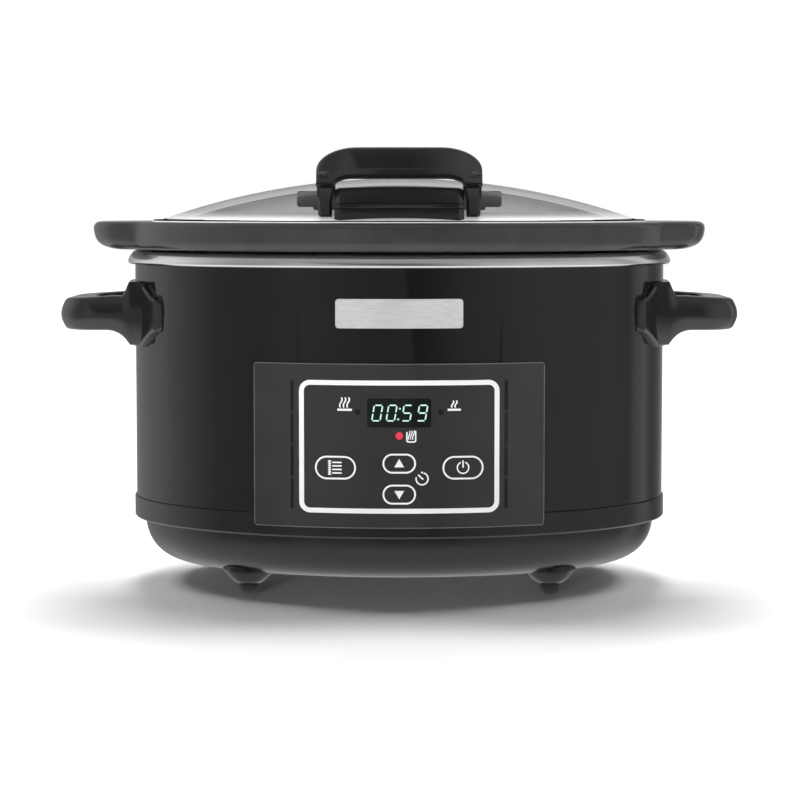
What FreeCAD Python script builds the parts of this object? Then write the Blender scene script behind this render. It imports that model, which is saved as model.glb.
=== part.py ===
import FreeCAD, Part
import os
import types

import Sketcher

# An oval countertop slow cooker: a painted steel housing on a plastic base, a heating well inside it,
# a lift-out stoneware crock and a glass lid that hinges at the rear and lifts out of its socket.
# Millimetres. +Z is up, -Y is the front, and Z is 0 where the rubber feet stand.
# Every oval layer is an ellipse whose two half axes are the housing's plus the same amount,
# its "grow", which is negative for the layers inside the housing.

SIZES = {
    # housing and base
    "body_rx": 168,
    "body_ry": 128,
    "centre_y": -7.4,
    "shell_bottom": 54.1,
    "shell_height": 149.4,
    "shell_wall": 1.0,
    "skin_gap": 0.1,
    "band_proud": 1.2,
    "band_height": 13.5,
    "band_depth": 10.2,
    "pan_inset": 5.7,
    "pan_wall": 2.5,
    "pan_bottom": 13,
    "pan_round": 25,
    "foot_x": 92.5,
    "foot_y": 75,
    "foot_radius": 16.5,
    "foot_tip_radius": 6,
    "pad_height": 6.2,
    "pad_stem_radius": 3,
    "pad_stem": 5,
    "post_x": 80,
    "post_y": 36,
    "post_radius": 5.5,
    "post_top": 27,
    # trim ring and heating well
    "ring_proud": 4.4,
    "ring_depth": 13,
    "ring_lip": 2.7,
    "ring_height": 8.7,
    "ring_round": 3,
    "ring_top_round": 5,
    "well_inset": 20,
    "well_wall": 0.8,
    "well_bottom": 58,
    "well_round": 18,
    "well_flange": 1.0,
    "heater_thickness": 2.4,
    "heater_bottom": 78,
    "heater_height": 52,
    "strap_thickness": 0.8,
    "strap_width": 6,
    # crock
    "crock_gap": 3.5,
    "crock_wall": 8,
    "crock_floor": 9,
    "crock_round": 22,
    "crock_inner_round": 14,
    "rim_gap": 0.8,
    "rim_height": 17.2,
    "rim_proud": 7,
    "rim_round": 4,
    "rim_bottom_round": 4.5,
    "mouth_width": -10,
    "lug_proud": 26.9,
    "lug_half_width": 44,
    "lug_undercut": 17,
    # lid
    "lid_inset": 11,
    "lid_fit": 1.0,
    "lid_proud": 1.2,
    "flange_height": 5,
    "flange_width": 6.3,
    "dome_height": 25.9,
    "glass_thickness": 4.5,
    # lid handle
    "grip_half_width": 49.4,
    "grip_leg": 8.8,
    "grip_rise": 43.5,
    "grip_clearance": 26.2,
    "grip_inset": 7,
    "grip_corner": 13.6,
    "block_half_width": 38,
    "block_rise": 20.5,
    "block_inset": 33,
    "block_screw_x": 25,
    # hinge
    "pin_proud": 16.5,
    "pin_rise": 9.3,
    "pin_radius": 2,
    "barrel_radius": 5.5,
    "barrel_half_width": 13.7,
    "knuckle_width": 12,
    "bar_half_width": 70.2,
    "bar_rise": 7.3,
    "bar_height": 11,
    "leaf_thickness": 4.7,
    "leaf_half_width": 20,
    "leaf_depth": 25,
    "socket_drop": 6.7,
    "bracket_half_width": 46,
    "tab_screw_x": 28,
    "tab_screw_inset": 12,
    # side handles
    "handle_proud": 44.5,
    "handle_drop": 44.1,
    "handle_height": 21.4,
    "handle_half_width": 50,
    "handle_corner": 24,
    "handle_bar": 18,
    "handle_pad_proud": 4.2,
    "handle_pad_drop": 53.7,
    "handle_pad_height": 40.5,
    "handle_screw_y": 36,
    # control panel
    "bezel_half_width": 86.9,
    "bezel_bottom": 47,
    "bezel_top": 145,
    "bezel_proud": 3.2,
    "overlay_half_width": 59.5,
    "overlay_bottom": 56,
    "overlay_top": 135.1,
    "overlay_corner": 6,
    "overlay_thickness": 0.8,
    "window_width": 37.8,
    "window_height": 17,
    "window_z": 115.8,
    "side_button_x": 37.75,
    "side_button_z": 83.2,
    "side_button_width": 24.6,
    "side_button_height": 14.2,
    "arrow_width": 20,
    "arrow_height": 12,
    "up_z": 85.9,
    "down_z": 67.5,
    "button_proud": 0.5,
    "button_travel": 0.6,
    "lamp_x": 24.6,
    "lamp_z": 116.2,
    "lamp_radius": 1.6,
    "warm_lamp_z": 102.3,
    "warm_lamp_radius": 2.2,
    "slot_x": 63.4,
    "slot_width": 2,
    "board_inset": 10.5,
    "board_thickness": 1.6,
    "panel_boss_x": 56.5,
    "badge_width": 75.5,
    "badge_height": 17.3,
    "badge_lift": 1.35,
    "badge_thickness": 1.5,
    # fasteners and fits
    "screw_radius": 1.8,
    "screw_head_radius": 3.6,
    "screw_head": 2.2,
    "fit": 0.3,
    "gland_x": 45,
    "gland_radius": 5,
    "gland_bore_radius": 3.4,
}


class Size:
    """A number that remembers the sheet formula it came from."""

    def __init__(self, number, formula):
        self.number = number
        self.formula = formula

    def __add__(self, other):
        other = sized(other)
        return Size(self.number + other.number, f"({self.formula} + {other.formula})")

    def __sub__(self, other):
        other = sized(other)
        return Size(self.number - other.number, f"({self.formula} - {other.formula})")

    def __mul__(self, other):
        other = sized(other)
        return Size(self.number * other.number, f"({self.formula} * {other.formula})")

    def __truediv__(self, other):
        other = sized(other)
        return Size(self.number / other.number, f"({self.formula} / {other.formula})")

    def __radd__(self, other):
        return sized(other) + self

    def __rsub__(self, other):
        return sized(other) - self

    def __rmul__(self, other):
        return sized(other) * self

    def __neg__(self):
        return Size(-self.number, f"(0 - {self.formula})")


def sized(value):
    if isinstance(value, Size):
        return value
    return Size(float(value), f"({float(value):.6f})")


def fill_sheet(document):
    """Write the sizes to a spreadsheet and hand them back as names."""
    sheet = document.addObject("Spreadsheet::Sheet", "dim")
    names = types.SimpleNamespace()
    for row, (name, value) in enumerate(SIZES.items(), start=1):
        sheet.set(f"A{row}", str(value))
        sheet.setAlias(f"A{row}", name)
        setattr(names, name, Size(float(value), f"dim.{name}"))
    document.recompute()
    return names


doc = FreeCAD.newDocument("slow_cooker")
d = fill_sheet(doc)
sub_parts = {}

# Heights and offsets that several pieces share
SHELL_TOP = d.shell_bottom + d.shell_height
BAND_BOTTOM = d.shell_bottom - d.band_height
RING_BOTTOM = SHELL_TOP - d.ring_lip
RING_TOP = RING_BOTTOM + d.ring_height
WELL_FLOOR = d.well_bottom + d.well_wall
CROCK_OUTSIDE = -(d.well_inset + d.well_wall + d.crock_gap)
CROCK_INSIDE = CROCK_OUTSIDE - d.crock_wall
CROCK_BOTTOM = WELL_FLOOR + d.fit
RIM_BOTTOM = RING_TOP + d.rim_gap
RIM_TOP = RIM_BOTTOM + d.rim_height
FLANGE_TOP = RIM_TOP + d.lid_proud
FLANGE_BOTTOM = FLANGE_TOP - d.flange_height
RECESS_BOTTOM = FLANGE_BOTTOM - d.fit
DOME_EDGE = -(d.lid_inset + d.flange_width)
DOME_TOP = FLANGE_TOP + d.dome_height
HEATER_OUTSIDE = d.heater_thickness + d.fit - d.well_inset
OVERLAY_BACK = d.bezel_proud - d.overlay_thickness
LUG_REACH = d.body_rx + d.lug_proud
GRIP_TOP = FLANGE_TOP + d.grip_rise
GRIP_UNDERSIDE = FLANGE_TOP + d.grip_clearance
GRIP_Y = d.grip_inset - d.body_ry
BLOCK_TOP = FLANGE_TOP + d.block_rise
BLOCK_Y = d.block_inset - d.body_ry
PIN_Y = d.body_ry + d.pin_proud
PIN_Z = FLANGE_TOP + d.pin_rise
BAR_BOTTOM = FLANGE_TOP + d.bar_rise
BAR_TOP = BAR_BOTTOM + d.bar_height
SOCKET_TOP = FLANGE_TOP - d.socket_drop
TAB_SCREW_Y = d.body_ry + DOME_EDGE - d.tab_screw_inset
HANDLE_REACH = d.body_rx + d.handle_proud
HANDLE_BOTTOM = SHELL_TOP - d.handle_drop
PAD_BOTTOM = SHELL_TOP - d.handle_pad_drop
PAD_TOP = PAD_BOTTOM + d.handle_pad_height
BOARD_Y = d.board_inset - d.body_ry
BADGE_Z = (d.bezel_top + RING_BOTTOM) / 2 + d.badge_lift
FOOT_CORNERS = [(sx, sy) for sx in (-1, 1) for sy in (-1, 1)]


# --- helpers -------------------------------------------------------------------------------------


def bind(item, properties):
    """Tie properties of an object to the sheet."""
    for path, value in properties.items():
        item.setExpression(path, sized(value).formula)
    return item


def place(item, x=0, y=0, z=0):
    return bind(item, {"Placement.Base.x": x, "Placement.Base.y": y, "Placement.Base.z": z})


def tool(kind, name):
    return doc.addObject(kind, name)


def box(name, x, y, z):
    """A box from three (start, end) pairs."""
    item = tool("Part::Box", name)
    spans = {"Length": x, "Width": y, "Height": z}
    bind(item, {key: sized(end) - start for key, (start, end) in spans.items()})
    return place(item, x[0], y[0], z[0])


def cylinder(name, radius, start, end, along="Z"):
    """A cylinder from one point towards +X, +Y or +Z, as long as the two points are apart."""
    item = tool("Part::Cylinder", name)
    axis = "XYZ".index(along)
    bind(item, {"Radius": radius, "Height": sized(end) - start[axis]})
    if along == "X":
        item.Placement.Rotation = FreeCAD.Rotation(FreeCAD.Vector(0, 1, 0), 90)
    if along == "Y":
        item.Placement.Rotation = FreeCAD.Rotation(FreeCAD.Vector(1, 0, 0), -90)
    return place(item, *start)


def flat_oval(name, grow, height):
    """One of the ellipses, as a curve at a height."""
    ellipse = tool("Part::Ellipse", name)
    bind(ellipse, {"MajorRadius": d.body_rx + grow, "MinorRadius": d.body_ry + grow})
    return place(ellipse, 0, 0, height)


def oval(name, grow, bottom, top):
    """A solid oval slab: one of the ellipses, raised between two heights."""
    ellipse = flat_oval(name + "_ellipse", grow, bottom)
    slab = tool("Part::Extrusion", name)
    slab.Base = ellipse
    slab.DirMode = "Custom"
    slab.Dir = FreeCAD.Vector(0, 0, 1)
    slab.Solid = True
    return bind(slab, {"LengthFwd": sized(top) - bottom})


def cut(name, base, *tools):
    item = tool("Part::Cut", name)
    item.Base = base
    item.Tool = tools[0] if len(tools) == 1 else fuse(name + "_tools", *tools)
    return item


def fuse(name, *pieces):
    item = tool("Part::MultiFuse", name)
    item.Shapes = list(pieces)
    item.Refine = True
    return item


def common(name, first, second):
    item = tool("Part::MultiCommon", name)
    item.Shapes = [first, second]
    return item


def group(name, *pieces):
    """Several loose solids that share one node."""
    item = tool("Part::Compound", name)
    item.Links = list(pieces)
    return item


def oval_ring(name, outer, inner, bottom, top):
    """A ring between two of the ellipses."""
    return cut(
        name,
        oval(name + "_outer", outer, bottom, top),
        oval(name + "_inner", inner, bottom - 1, top + 1),
    )


def new_body(name):
    return doc.addObject("PartDesign::Body", name)


def new_sketch(body, name, plane, offset=0):
    """A sketch on one of the body's own origin planes, moved along that plane's normal."""
    sketch = body.newObject("Sketcher::SketchObject", name)
    support = next(item for item in body.Origin.OriginFeatures if item.Role == plane)
    sketch.AttachmentSupport = [(support, "")]
    sketch.MapMode = "FlatFace"
    return bind(sketch, {"AttachmentOffset.Base.z": offset})


def draw_ellipse(sketch, grow):
    """An ellipse about the origin, with its long axis along X."""
    rx = d.body_rx + grow
    ry = d.body_ry + grow
    curve = sketch.addGeometry(Part.Ellipse(FreeCAD.Vector(0, 0, 0), rx.number, ry.number), False)
    sketch.exposeInternalGeometry(curve)
    sketch.addConstraint(Sketcher.Constraint("Coincident", curve, 3, -1, 1))
    sketch.addConstraint(Sketcher.Constraint("Horizontal", curve + 1))
    for line, half in ((curve + 1, rx), (curve + 2, ry)):
        index = sketch.addConstraint(Sketcher.Constraint("Distance", line, 2 * half.number))
        bind(sketch, {f"Constraints[{index}]": 2 * half})


def pin_point(sketch, geometry, which, x, y):
    """Fix a point of the sketch at two named distances from its origin."""
    for kind, value in (("DistanceX", sized(x)), ("DistanceY", sized(y))):
        index = sketch.addConstraint(Sketcher.Constraint(kind, -1, 1, geometry, which, value.number))
        bind(sketch, {f"Constraints[{index}]": value})


def draw_outline(sketch, path):
    """A closed outline through corners (x, y). A third item marks the middle of an arc."""
    corners = [index for index, point in enumerate(path) if len(point) == 2]
    vectors = [FreeCAD.Vector(sized(p[0]).number, sized(p[1]).number, 0) for p in path]
    for index, start in enumerate(corners):
        end = corners[(index + 1) % len(corners)]
        middle = start + 1 if start + 1 < len(path) and len(path[start + 1]) == 3 else None
        if middle is None:
            edge = sketch.addGeometry(Part.LineSegment(vectors[start], vectors[end]), False)
            first, last = 1, 2
        else:
            arc = Part.Arc(vectors[start], vectors[middle], vectors[end])
            edge = sketch.addGeometry(arc, False)
            forward = sketch.getPoint(edge, 1).distanceToPoint(vectors[start]) < 0.001
            first, last = (1, 2) if forward else (2, 1)
            point = sketch.addGeometry(Part.Point(vectors[middle]), True)
            pin_point(sketch, point, 1, path[middle][0], path[middle][1])
            sketch.addConstraint(Sketcher.Constraint("PointOnObject", point, 1, edge))
        pin_point(sketch, edge, first, *path[start])
        pin_point(sketch, edge, last, *path[end])


def pad(body, name, sketch, length, both_ways=False):
    feature = body.newObject("PartDesign::Pad", name)
    feature.Profile = sketch
    feature.Midplane = both_ways
    bind(feature, {"Length": length})
    doc.recompute()
    return feature


def pocket(body, name, sketch, length, reverse=False):
    """A pocket that must really remove something."""
    before = body.Shape.Volume
    feature = body.newObject("PartDesign::Pocket", name)
    feature.Profile = sketch
    feature.Reversed = reverse
    bind(feature, {"Length": length})
    doc.recompute()
    if body.Shape.Volume > before - 1:
        raise RuntimeError(f"{body.Label}: {name} cuts nothing")
    return feature


def round_edges(body, name, radius, wanted):
    """Fillet the edges of the body's last feature that the test picks."""
    last = body.Tip
    chosen = [f"Edge{n}" for n, edge in enumerate(last.Shape.Edges, start=1) if wanted(edge)]
    if not chosen:
        raise RuntimeError(f"{body.Label}: {name} finds no edge")
    feature = body.newObject("PartDesign::Fillet", name)
    feature.Base = (last, chosen)
    bind(feature, {"Radius": radius})
    doc.recompute()
    return feature


def level(height):
    """Picks edges that lie flat at one height."""
    target = sized(height).number

    def wanted(edge):
        return abs(edge.BoundBox.ZMin - target) < 0.01 and abs(edge.BoundBox.ZMax - target) < 0.01

    return wanted


def along(axis):
    """Picks straight edges that run along one axis."""

    def wanted(edge):
        sizes = {"X": edge.BoundBox.XLength, "Y": edge.BoundBox.YLength, "Z": edge.BoundBox.ZLength}
        length = sizes.pop(axis)
        return length > 0.01 and max(sizes.values()) < 0.001

    return wanted


def oval_pot(name, grow, bottom, top, rounding):
    """A solid oval pot shape: straight sides and a rounded bottom edge."""
    body = new_body(name)
    sketch = new_sketch(body, name + "_sketch", "XY_Plane", bottom)
    draw_ellipse(sketch, grow)
    pad(body, name + "_pad", sketch, sized(top) - bottom)
    round_edges(body, name + "_round", rounding, level(bottom))
    return body


def far_from_axis(edge):
    """Picks upright edges at the outer end, away from the origin's side."""
    return along("Z")(edge) and abs(edge.CenterOfMass.x) > d.body_rx.number


def block(name, plane, across, upwards, start, depth, corner=None):
    """A slab raised from a rectangle on an origin plane, with rounded corners."""
    body = new_body(name)
    sketch = new_sketch(body, name + "_sketch", plane, start)
    left, right = across
    low, high = upwards
    draw_outline(sketch, [(left, low), (right, low), (right, high), (left, high)])
    pad(body, name + "_pad", sketch, depth)
    if corner is not None:
        axis = {"XY_Plane": "Z", "XZ_Plane": "Y", "YZ_Plane": "X"}[plane]
        round_edges(body, name + "_corners", corner, along(axis))
    return body


def front_block(name, x, z, width, height, corner=None):
    """A slab through the front wall, centred at x, z as seen from the front."""
    half_width = sized(width) / 2
    half_height = sized(height) / 2
    return block(
        name, "XZ_Plane",
        (sized(x) - half_width, sized(x) + half_width),
        (sized(z) - half_height, sized(z) + half_height),
        d.body_ry - 30, 50, corner,
    )


def curved_plate(name, back, front, outline):
    """A plate that follows the housing between two ellipses, with an outline seen from the front."""
    box_shape = outline.Shape.BoundBox
    ring = oval_ring(name + "_ring", front, back, box_shape.ZMin - 5, box_shape.ZMax + 5)
    return common(name, ring, outline)


def sub_part(name, item):
    """Name a finished piece and move it, with all the others, so that the cooker is centred."""
    if item.TypeId in ("Part::Box", "Part::Cylinder"):
        item = group(name + "_piece", item)
    item.Label = name
    bind(item, {"Placement.Base.y": d.centre_y})
    sub_parts[name] = item
    return item


def upright_screw(name, x, y, head_z, tip_z):
    """A pan-head screw driven upwards, its head below."""
    head = cylinder(name + "_head", d.screw_head_radius, (x, y, head_z), sized(head_z) + d.screw_head)
    shank = cylinder(name + "_shank", d.screw_radius, (x, y, head_z), tip_z)
    return fuse(name, head, shank)


# --- housing and base ----------------------------------------------------------------------------


def make_housing_shell():
    """Painted steel wrapper with openings for the panel, handles and hinge bracket."""
    wrapper = oval_ring("wrapper", 0, -d.shell_wall, d.shell_bottom, SHELL_TOP)
    panel_hole = front_block(
        "panel_hole", 0, (d.overlay_bottom + d.overlay_top) / 2,
        2 * d.panel_boss_x + 9, d.overlay_top - d.overlay_bottom - 2,
    )
    holes = [panel_hole]
    for side in (-1, 1):
        for sy in (-1, 1):
            near, far = sorted_span(side * (d.body_rx - 38), side * (d.body_rx + 20))
            centre = (near, sy * d.handle_screw_y, handle_middle())
            holes.append(cylinder(f"handle_hole_{side}_{sy}", d.screw_radius + d.fit, centre, far, "X"))
        for level_z in bracket_screw_heights():
            centre = (side * (d.bracket_half_width - 8), d.body_ry - 38, level_z)
            holes.append(cylinder(f"bracket_hole_{side}_{level_z.number:.0f}",
                                  d.screw_radius + d.fit, centre, d.body_ry + 22, "Y"))
    return sub_part("housing_shell", cut("shell", wrapper, *holes))


def handle_middle():
    return HANDLE_BOTTOM + d.handle_height / 2


def bracket_screw_heights():
    return (PAD_BOTTOM + 22, PAD_BOTTOM + 42)


def make_base_band():
    """Plastic band that the steel wrapper stands on, drilled for the cord gland."""
    body = new_body("band_body")
    sketch = new_sketch(body, "band_sketch", "XY_Plane", BAND_BOTTOM)
    draw_ellipse(sketch, d.band_proud)
    draw_ellipse(sketch, d.band_proud - d.band_depth)
    pad(body, "band_pad", sketch, d.band_height)
    start = (d.gland_x, d.body_ry - 68, gland_height())
    hole = cylinder("gland_hole", d.gland_radius + d.skin_gap, start, d.body_ry + 32, "Y")
    return sub_part("base_band", cut("band", body, hole))


def gland_height():
    return BAND_BOTTOM + d.band_height / 2


def make_base_pan():
    """Bowl-shaped bottom moulding with four foot cones, four screw posts and board posts."""
    bowl = oval_pot("bowl", -d.pan_inset, d.pan_bottom, BAND_BOTTOM, d.pan_round)
    cavity = oval_pot("cavity", -d.pan_inset - d.pan_wall, d.pan_bottom + d.pan_wall,
                      BAND_BOTTOM + 1, d.pan_round - d.pan_wall)
    feet = [make_foot_cone(sx, sy) for sx, sy in FOOT_CORNERS]
    shell = cut("bowl_shell", fuse("bowl_and_feet", bowl, *feet), cavity)
    posts = []
    drilled = []
    for sx, sy in FOOT_CORNERS:
        x, y, tag = sx * d.post_x, sy * d.post_y, f"{sx}_{sy}"
        posts.append(cylinder("post_" + tag, d.post_radius, (x, y, d.pan_bottom + 1), d.post_top))
        drilled.append(cylinder("post_bore_" + tag, d.screw_radius + d.skin_gap, (x, y, 0), d.post_top + 1))
        drilled.append(cylinder("post_sink_" + tag, d.screw_head_radius + d.fit,
                                (x, y, 0), screw_seat()))
        drilled.append(cylinder("pad_bore_" + tag, d.pad_stem_radius + d.skin_gap,
                                (sx * d.foot_x, sy * d.foot_y, 0), d.pad_height + d.pad_stem + d.fit))
        posts.append(cylinder("board_post_" + tag, 3,
                              (board_hole_x(sx), sy * 24, d.pan_bottom + 1), board_height()))
    return sub_part("base_pan", cut("pan", fuse("pan_and_posts", shell, *posts), *drilled))


def screw_seat():
    return d.pan_bottom + 6


def board_height():
    return d.pan_bottom + 12


def board_hole_x(side):
    return sized(-12 + side * 38)


def make_foot_cone(sx, sy):
    """A moulded foot: a cone with full flanks that runs up into the bowl."""
    body = new_body(f"foot_{sx}_{sy}")
    sketch = new_sketch(body, f"foot_profile_{sx}_{sy}", "XZ_Plane")
    top = d.pan_bottom + d.pan_round / 2
    flank = d.pan_bottom + 1.5
    middle_radius = d.foot_tip_radius + (d.foot_radius - d.foot_tip_radius) * 0.55
    draw_outline(sketch, [
        (0, d.pad_height),
        (d.foot_tip_radius, d.pad_height),
        (middle_radius, d.pad_height + (flank - d.pad_height) * 0.28, "arc"),
        (d.foot_radius, flank),
        (d.foot_radius, top),
        (0, top),
    ])
    turn = body.newObject("PartDesign::Revolution", f"foot_turn_{sx}_{sy}")
    turn.Profile = sketch
    turn.ReferenceAxis = (sketch, ["V_Axis"])
    turn.Angle = 360
    doc.recompute()
    return place(body, sx * d.foot_x, sy * d.foot_y)


def make_foot_pads():
    """Four half-round rubber feet, each plugged into its cone by a stem."""
    pads = []
    for sx, sy in FOOT_CORNERS:
        x, y, tag = sx * d.foot_x, sy * d.foot_y, f"{sx}_{sy}"
        body = new_body("pad_body_" + tag)
        sketch = new_sketch(body, "pad_profile_" + tag, "XZ_Plane")
        draw_outline(sketch, [
            (0, 0),
            (d.foot_tip_radius * 0.5, 0),
            (d.foot_tip_radius * 0.87, d.pad_height * 0.36, "arc"),
            (d.foot_tip_radius - 0.1, d.pad_height),
            (d.pad_stem_radius, d.pad_height),
            (d.pad_stem_radius, d.pad_height + d.pad_stem),
            (0, d.pad_height + d.pad_stem),
        ])
        turn = body.newObject("PartDesign::Revolution", "pad_turn_" + tag)
        turn.Profile = sketch
        turn.ReferenceAxis = (sketch, ["V_Axis"])
        turn.Angle = 360
        doc.recompute()
        pads.append(place(body, x, y))
    return sub_part("foot_pads", group("pads", *pads))


def make_base_screws():
    """Four screws that pull the well's legs down on the pan."""
    screws = []
    for sx, sy in FOOT_CORNERS:
        head_z = screw_seat() - d.screw_head
        screws.append(upright_screw(f"base_screw_{sx}_{sy}", sx * d.post_x, sy * d.post_y,
                                    head_z, d.post_top + 4))
    return sub_part("base_screws", group("base_screw_set", *screws))


def make_cord_gland():
    """Flanged bush in the rear of the band, open for a supply cord."""
    z = gland_height()
    outside = rear_reach(d.band_proud, d.gland_x)
    barrel = cylinder("gland_barrel", d.gland_radius, (d.gland_x, outside - 16, z), outside + 3.5, "Y")
    disc = cylinder("gland_disc", d.gland_radius + 1.4, (d.gland_x, outside - 4, z), outside + 3.5, "Y")
    collar = cut("gland_collar", disc, oval("gland_seat", d.band_proud + d.skin_gap, z - 10, z + 10))
    bore = cylinder("gland_bore", d.gland_bore_radius, (d.gland_x, outside - 20, z), outside + 8, "Y")
    return sub_part("cord_gland", cut("gland", fuse("gland_bush", barrel, collar), bore))


def rear_reach(grow, x):
    """How far behind the centre line an oval layer lies at x."""
    rx = d.body_rx + grow
    ry = d.body_ry + grow
    x = sized(x)
    ratio = (x.number / rx.number) ** 2
    formula = f"({ry.formula} * sqrt(1 - ({x.formula} / {rx.formula}) ^ 2))"
    return Size(ry.number * (1 - ratio) ** 0.5, formula)


# --- trim ring, heating well and heater ----------------------------------------------------------


def make_trim_ring():
    """Bright rolled ring that hooks over the wrapper's edge and the well's flange."""
    body = new_body("ring_body")
    sketch = new_sketch(body, "ring_sketch", "XY_Plane", RING_BOTTOM)
    draw_ellipse(sketch, d.ring_proud)
    draw_ellipse(sketch, d.ring_proud - d.ring_depth)
    pad(body, "ring_pad", sketch, d.ring_height)
    seat = new_sketch(body, "ring_seat", "XY_Plane", SHELL_TOP)
    draw_ellipse(seat, d.skin_gap)
    pocket(body, "ring_rebate", seat, d.ring_lip)
    outer = (d.body_rx + d.ring_proud).number

    def outer_edge(height):
        def wanted(edge):
            return level(height)(edge) and abs(edge.BoundBox.XMax - outer) < 0.5

        return wanted

    round_edges(body, "ring_roll_top", d.ring_top_round, outer_edge(RING_TOP))
    round_edges(body, "ring_roll_foot", d.ring_round, outer_edge(RING_BOTTOM))
    return sub_part("trim_ring", body)


def make_heating_well():
    """Pressed metal pot with a flange that lies under the trim ring."""
    pot = oval_pot("well_pot", -d.well_inset, d.well_bottom, SHELL_TOP, d.well_round)
    flange = oval("well_flange", -d.shell_wall - d.skin_gap, SHELL_TOP - d.well_flange, SHELL_TOP)
    inside = oval_pot("well_inside", -d.well_inset - d.well_wall, WELL_FLOOR, SHELL_TOP + 1,
                      d.well_round - d.well_wall)
    return sub_part("heating_well", cut("well", fuse("well_blank", pot, flange), inside))


def make_well_legs():
    """Four sheet brackets between the pan's posts and the bottom of the well."""
    legs = []
    for sx, sy in FOOT_CORNERS:
        tag = f"{sx}_{sy}"
        x = sx * d.post_x
        y = sy * d.post_y
        reach = (y - 7, y + 7)
        foot = box("leg_foot_" + tag, (x - 7, x + 7), reach, (d.post_top, d.post_top + 1.5))
        web_x = (x - 7, x - 5.5) if sx > 0 else (x + 5.5, x + 7)
        web = box("leg_web_" + tag, web_x, reach, (d.post_top, d.well_bottom))
        head = box("leg_head_" + tag, (x - 7, x + 7), reach, (d.well_bottom - 1.5, d.well_bottom))
        bore = cylinder("leg_bore_" + tag, d.screw_radius + d.skin_gap, (x, y, d.post_top - 2),
                        d.post_top + 4)
        legs.append(cut("leg_" + tag, fuse("leg_sheet_" + tag, foot, web, head), bore))
    return sub_part("well_legs", group("leg_set", *legs))


def make_heater_band():
    """Flat heating band wrapped round the well, with two terminal tabs at the rear."""
    top = d.heater_bottom + d.heater_height
    wrap = oval_ring("heater_wrap", HEATER_OUTSIDE, d.fit - d.well_inset, d.heater_bottom, top)
    behind = rear_reach(HEATER_OUTSIDE, 12)
    tabs = [
        box(f"heater_tab_{side}", (side * 12 - 3, side * 12 + 3), (behind - 1, behind + 2.5),
            (top - 14, top - 4))
        for side in (-1, 1)
    ]
    return sub_part("heater_band", fuse("heater", wrap, *tabs))


def make_heater_straps():
    """Two thin steel straps that hold the band against the well."""
    straps = []
    for name, bottom in (("lower", d.heater_bottom + 6), ("upper", d.heater_bottom + 24)):
        straps.append(oval_ring(f"strap_{name}", HEATER_OUTSIDE + d.skin_gap + d.strap_thickness,
                                HEATER_OUTSIDE + d.skin_gap, bottom, bottom + d.strap_width))
    return sub_part("heater_straps", group("strap_set", *straps))


def make_thermal_fuse():
    """Fuse in its sleeve, clipped to the outside of the well above the heater."""
    z = d.heater_bottom + d.heater_height + 18
    back = d.body_ry - d.well_inset
    clip = box("fuse_clip", (-9, 9), (back + d.skin_gap, back + 1.3), (z - 5, z + 5))
    sleeve = cylinder("fuse_sleeve", 2.2, (-13, back + 3, z), 13, "X")
    return sub_part("thermal_fuse", fuse("fuse", clip, sleeve))


def make_temperature_sensor():
    """Sensor button pressed to the bottom of the well."""
    collar = cylinder("sensor_collar", 10, (0, 0, d.well_bottom - 1.2), d.well_bottom)
    button = cylinder("sensor_button", 6, (0, 0, d.well_bottom - 8), d.well_bottom)
    return sub_part("temperature_sensor", fuse("sensor", collar, button))


# --- power board -----------------------------------------------------------------------------------


def make_power_board():
    floor = board_height()
    sheet = box("power_sheet", (-56, 32), (-30, 30), (floor, floor + d.board_thickness))
    holes = [
        cylinder(f"board_hole_{sx}_{sy}", d.screw_radius + d.skin_gap,
                 (board_hole_x(sx), sy * 24, floor - 1), floor + 4)
        for sx, sy in FOOT_CORNERS
    ]
    sub_part("power_board", cut("power_board_sheet", sheet, *holes))
    top = floor + d.board_thickness
    sub_part("relay", box("relay_box", (-42, -22), (-10, 8), (top, top + 15)))
    core = box("transformer_core", (-14, 12), (-12, 12), (top, top + 18))
    coil = box("transformer_coil", (-9, 7), (-15, 15), (top + 3, top + 15))
    sub_part("transformer", fuse("transformer_stack", core, coil))
    body = box("terminal_body", (16, 30), (-17, 17), (top, top + 9))
    ways = [
        cylinder(f"terminal_way_{n}", 2, (23, n * 9, top + 4), top + 10) for n in (-1, 0, 1)
    ]
    sub_part("terminal_block", cut("terminal_housing", body, *ways))
    screws = []
    for sx, sy in FOOT_CORNERS:
        x, y, tag = board_hole_x(sx), sy * 24, f"{sx}_{sy}"
        head = cylinder("board_screw_head_" + tag, d.screw_head_radius - 0.6, (x, y, top), top + 1.8)
        screws.append(head)
    return sub_part("board_screws", group("board_screw_set", *screws))


# --- control panel -------------------------------------------------------------------------------


def overlay_middle():
    return (d.overlay_bottom + d.overlay_top) / 2


def boss_heights():
    return (d.overlay_bottom + 7.5, d.overlay_top - 7.5)


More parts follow.
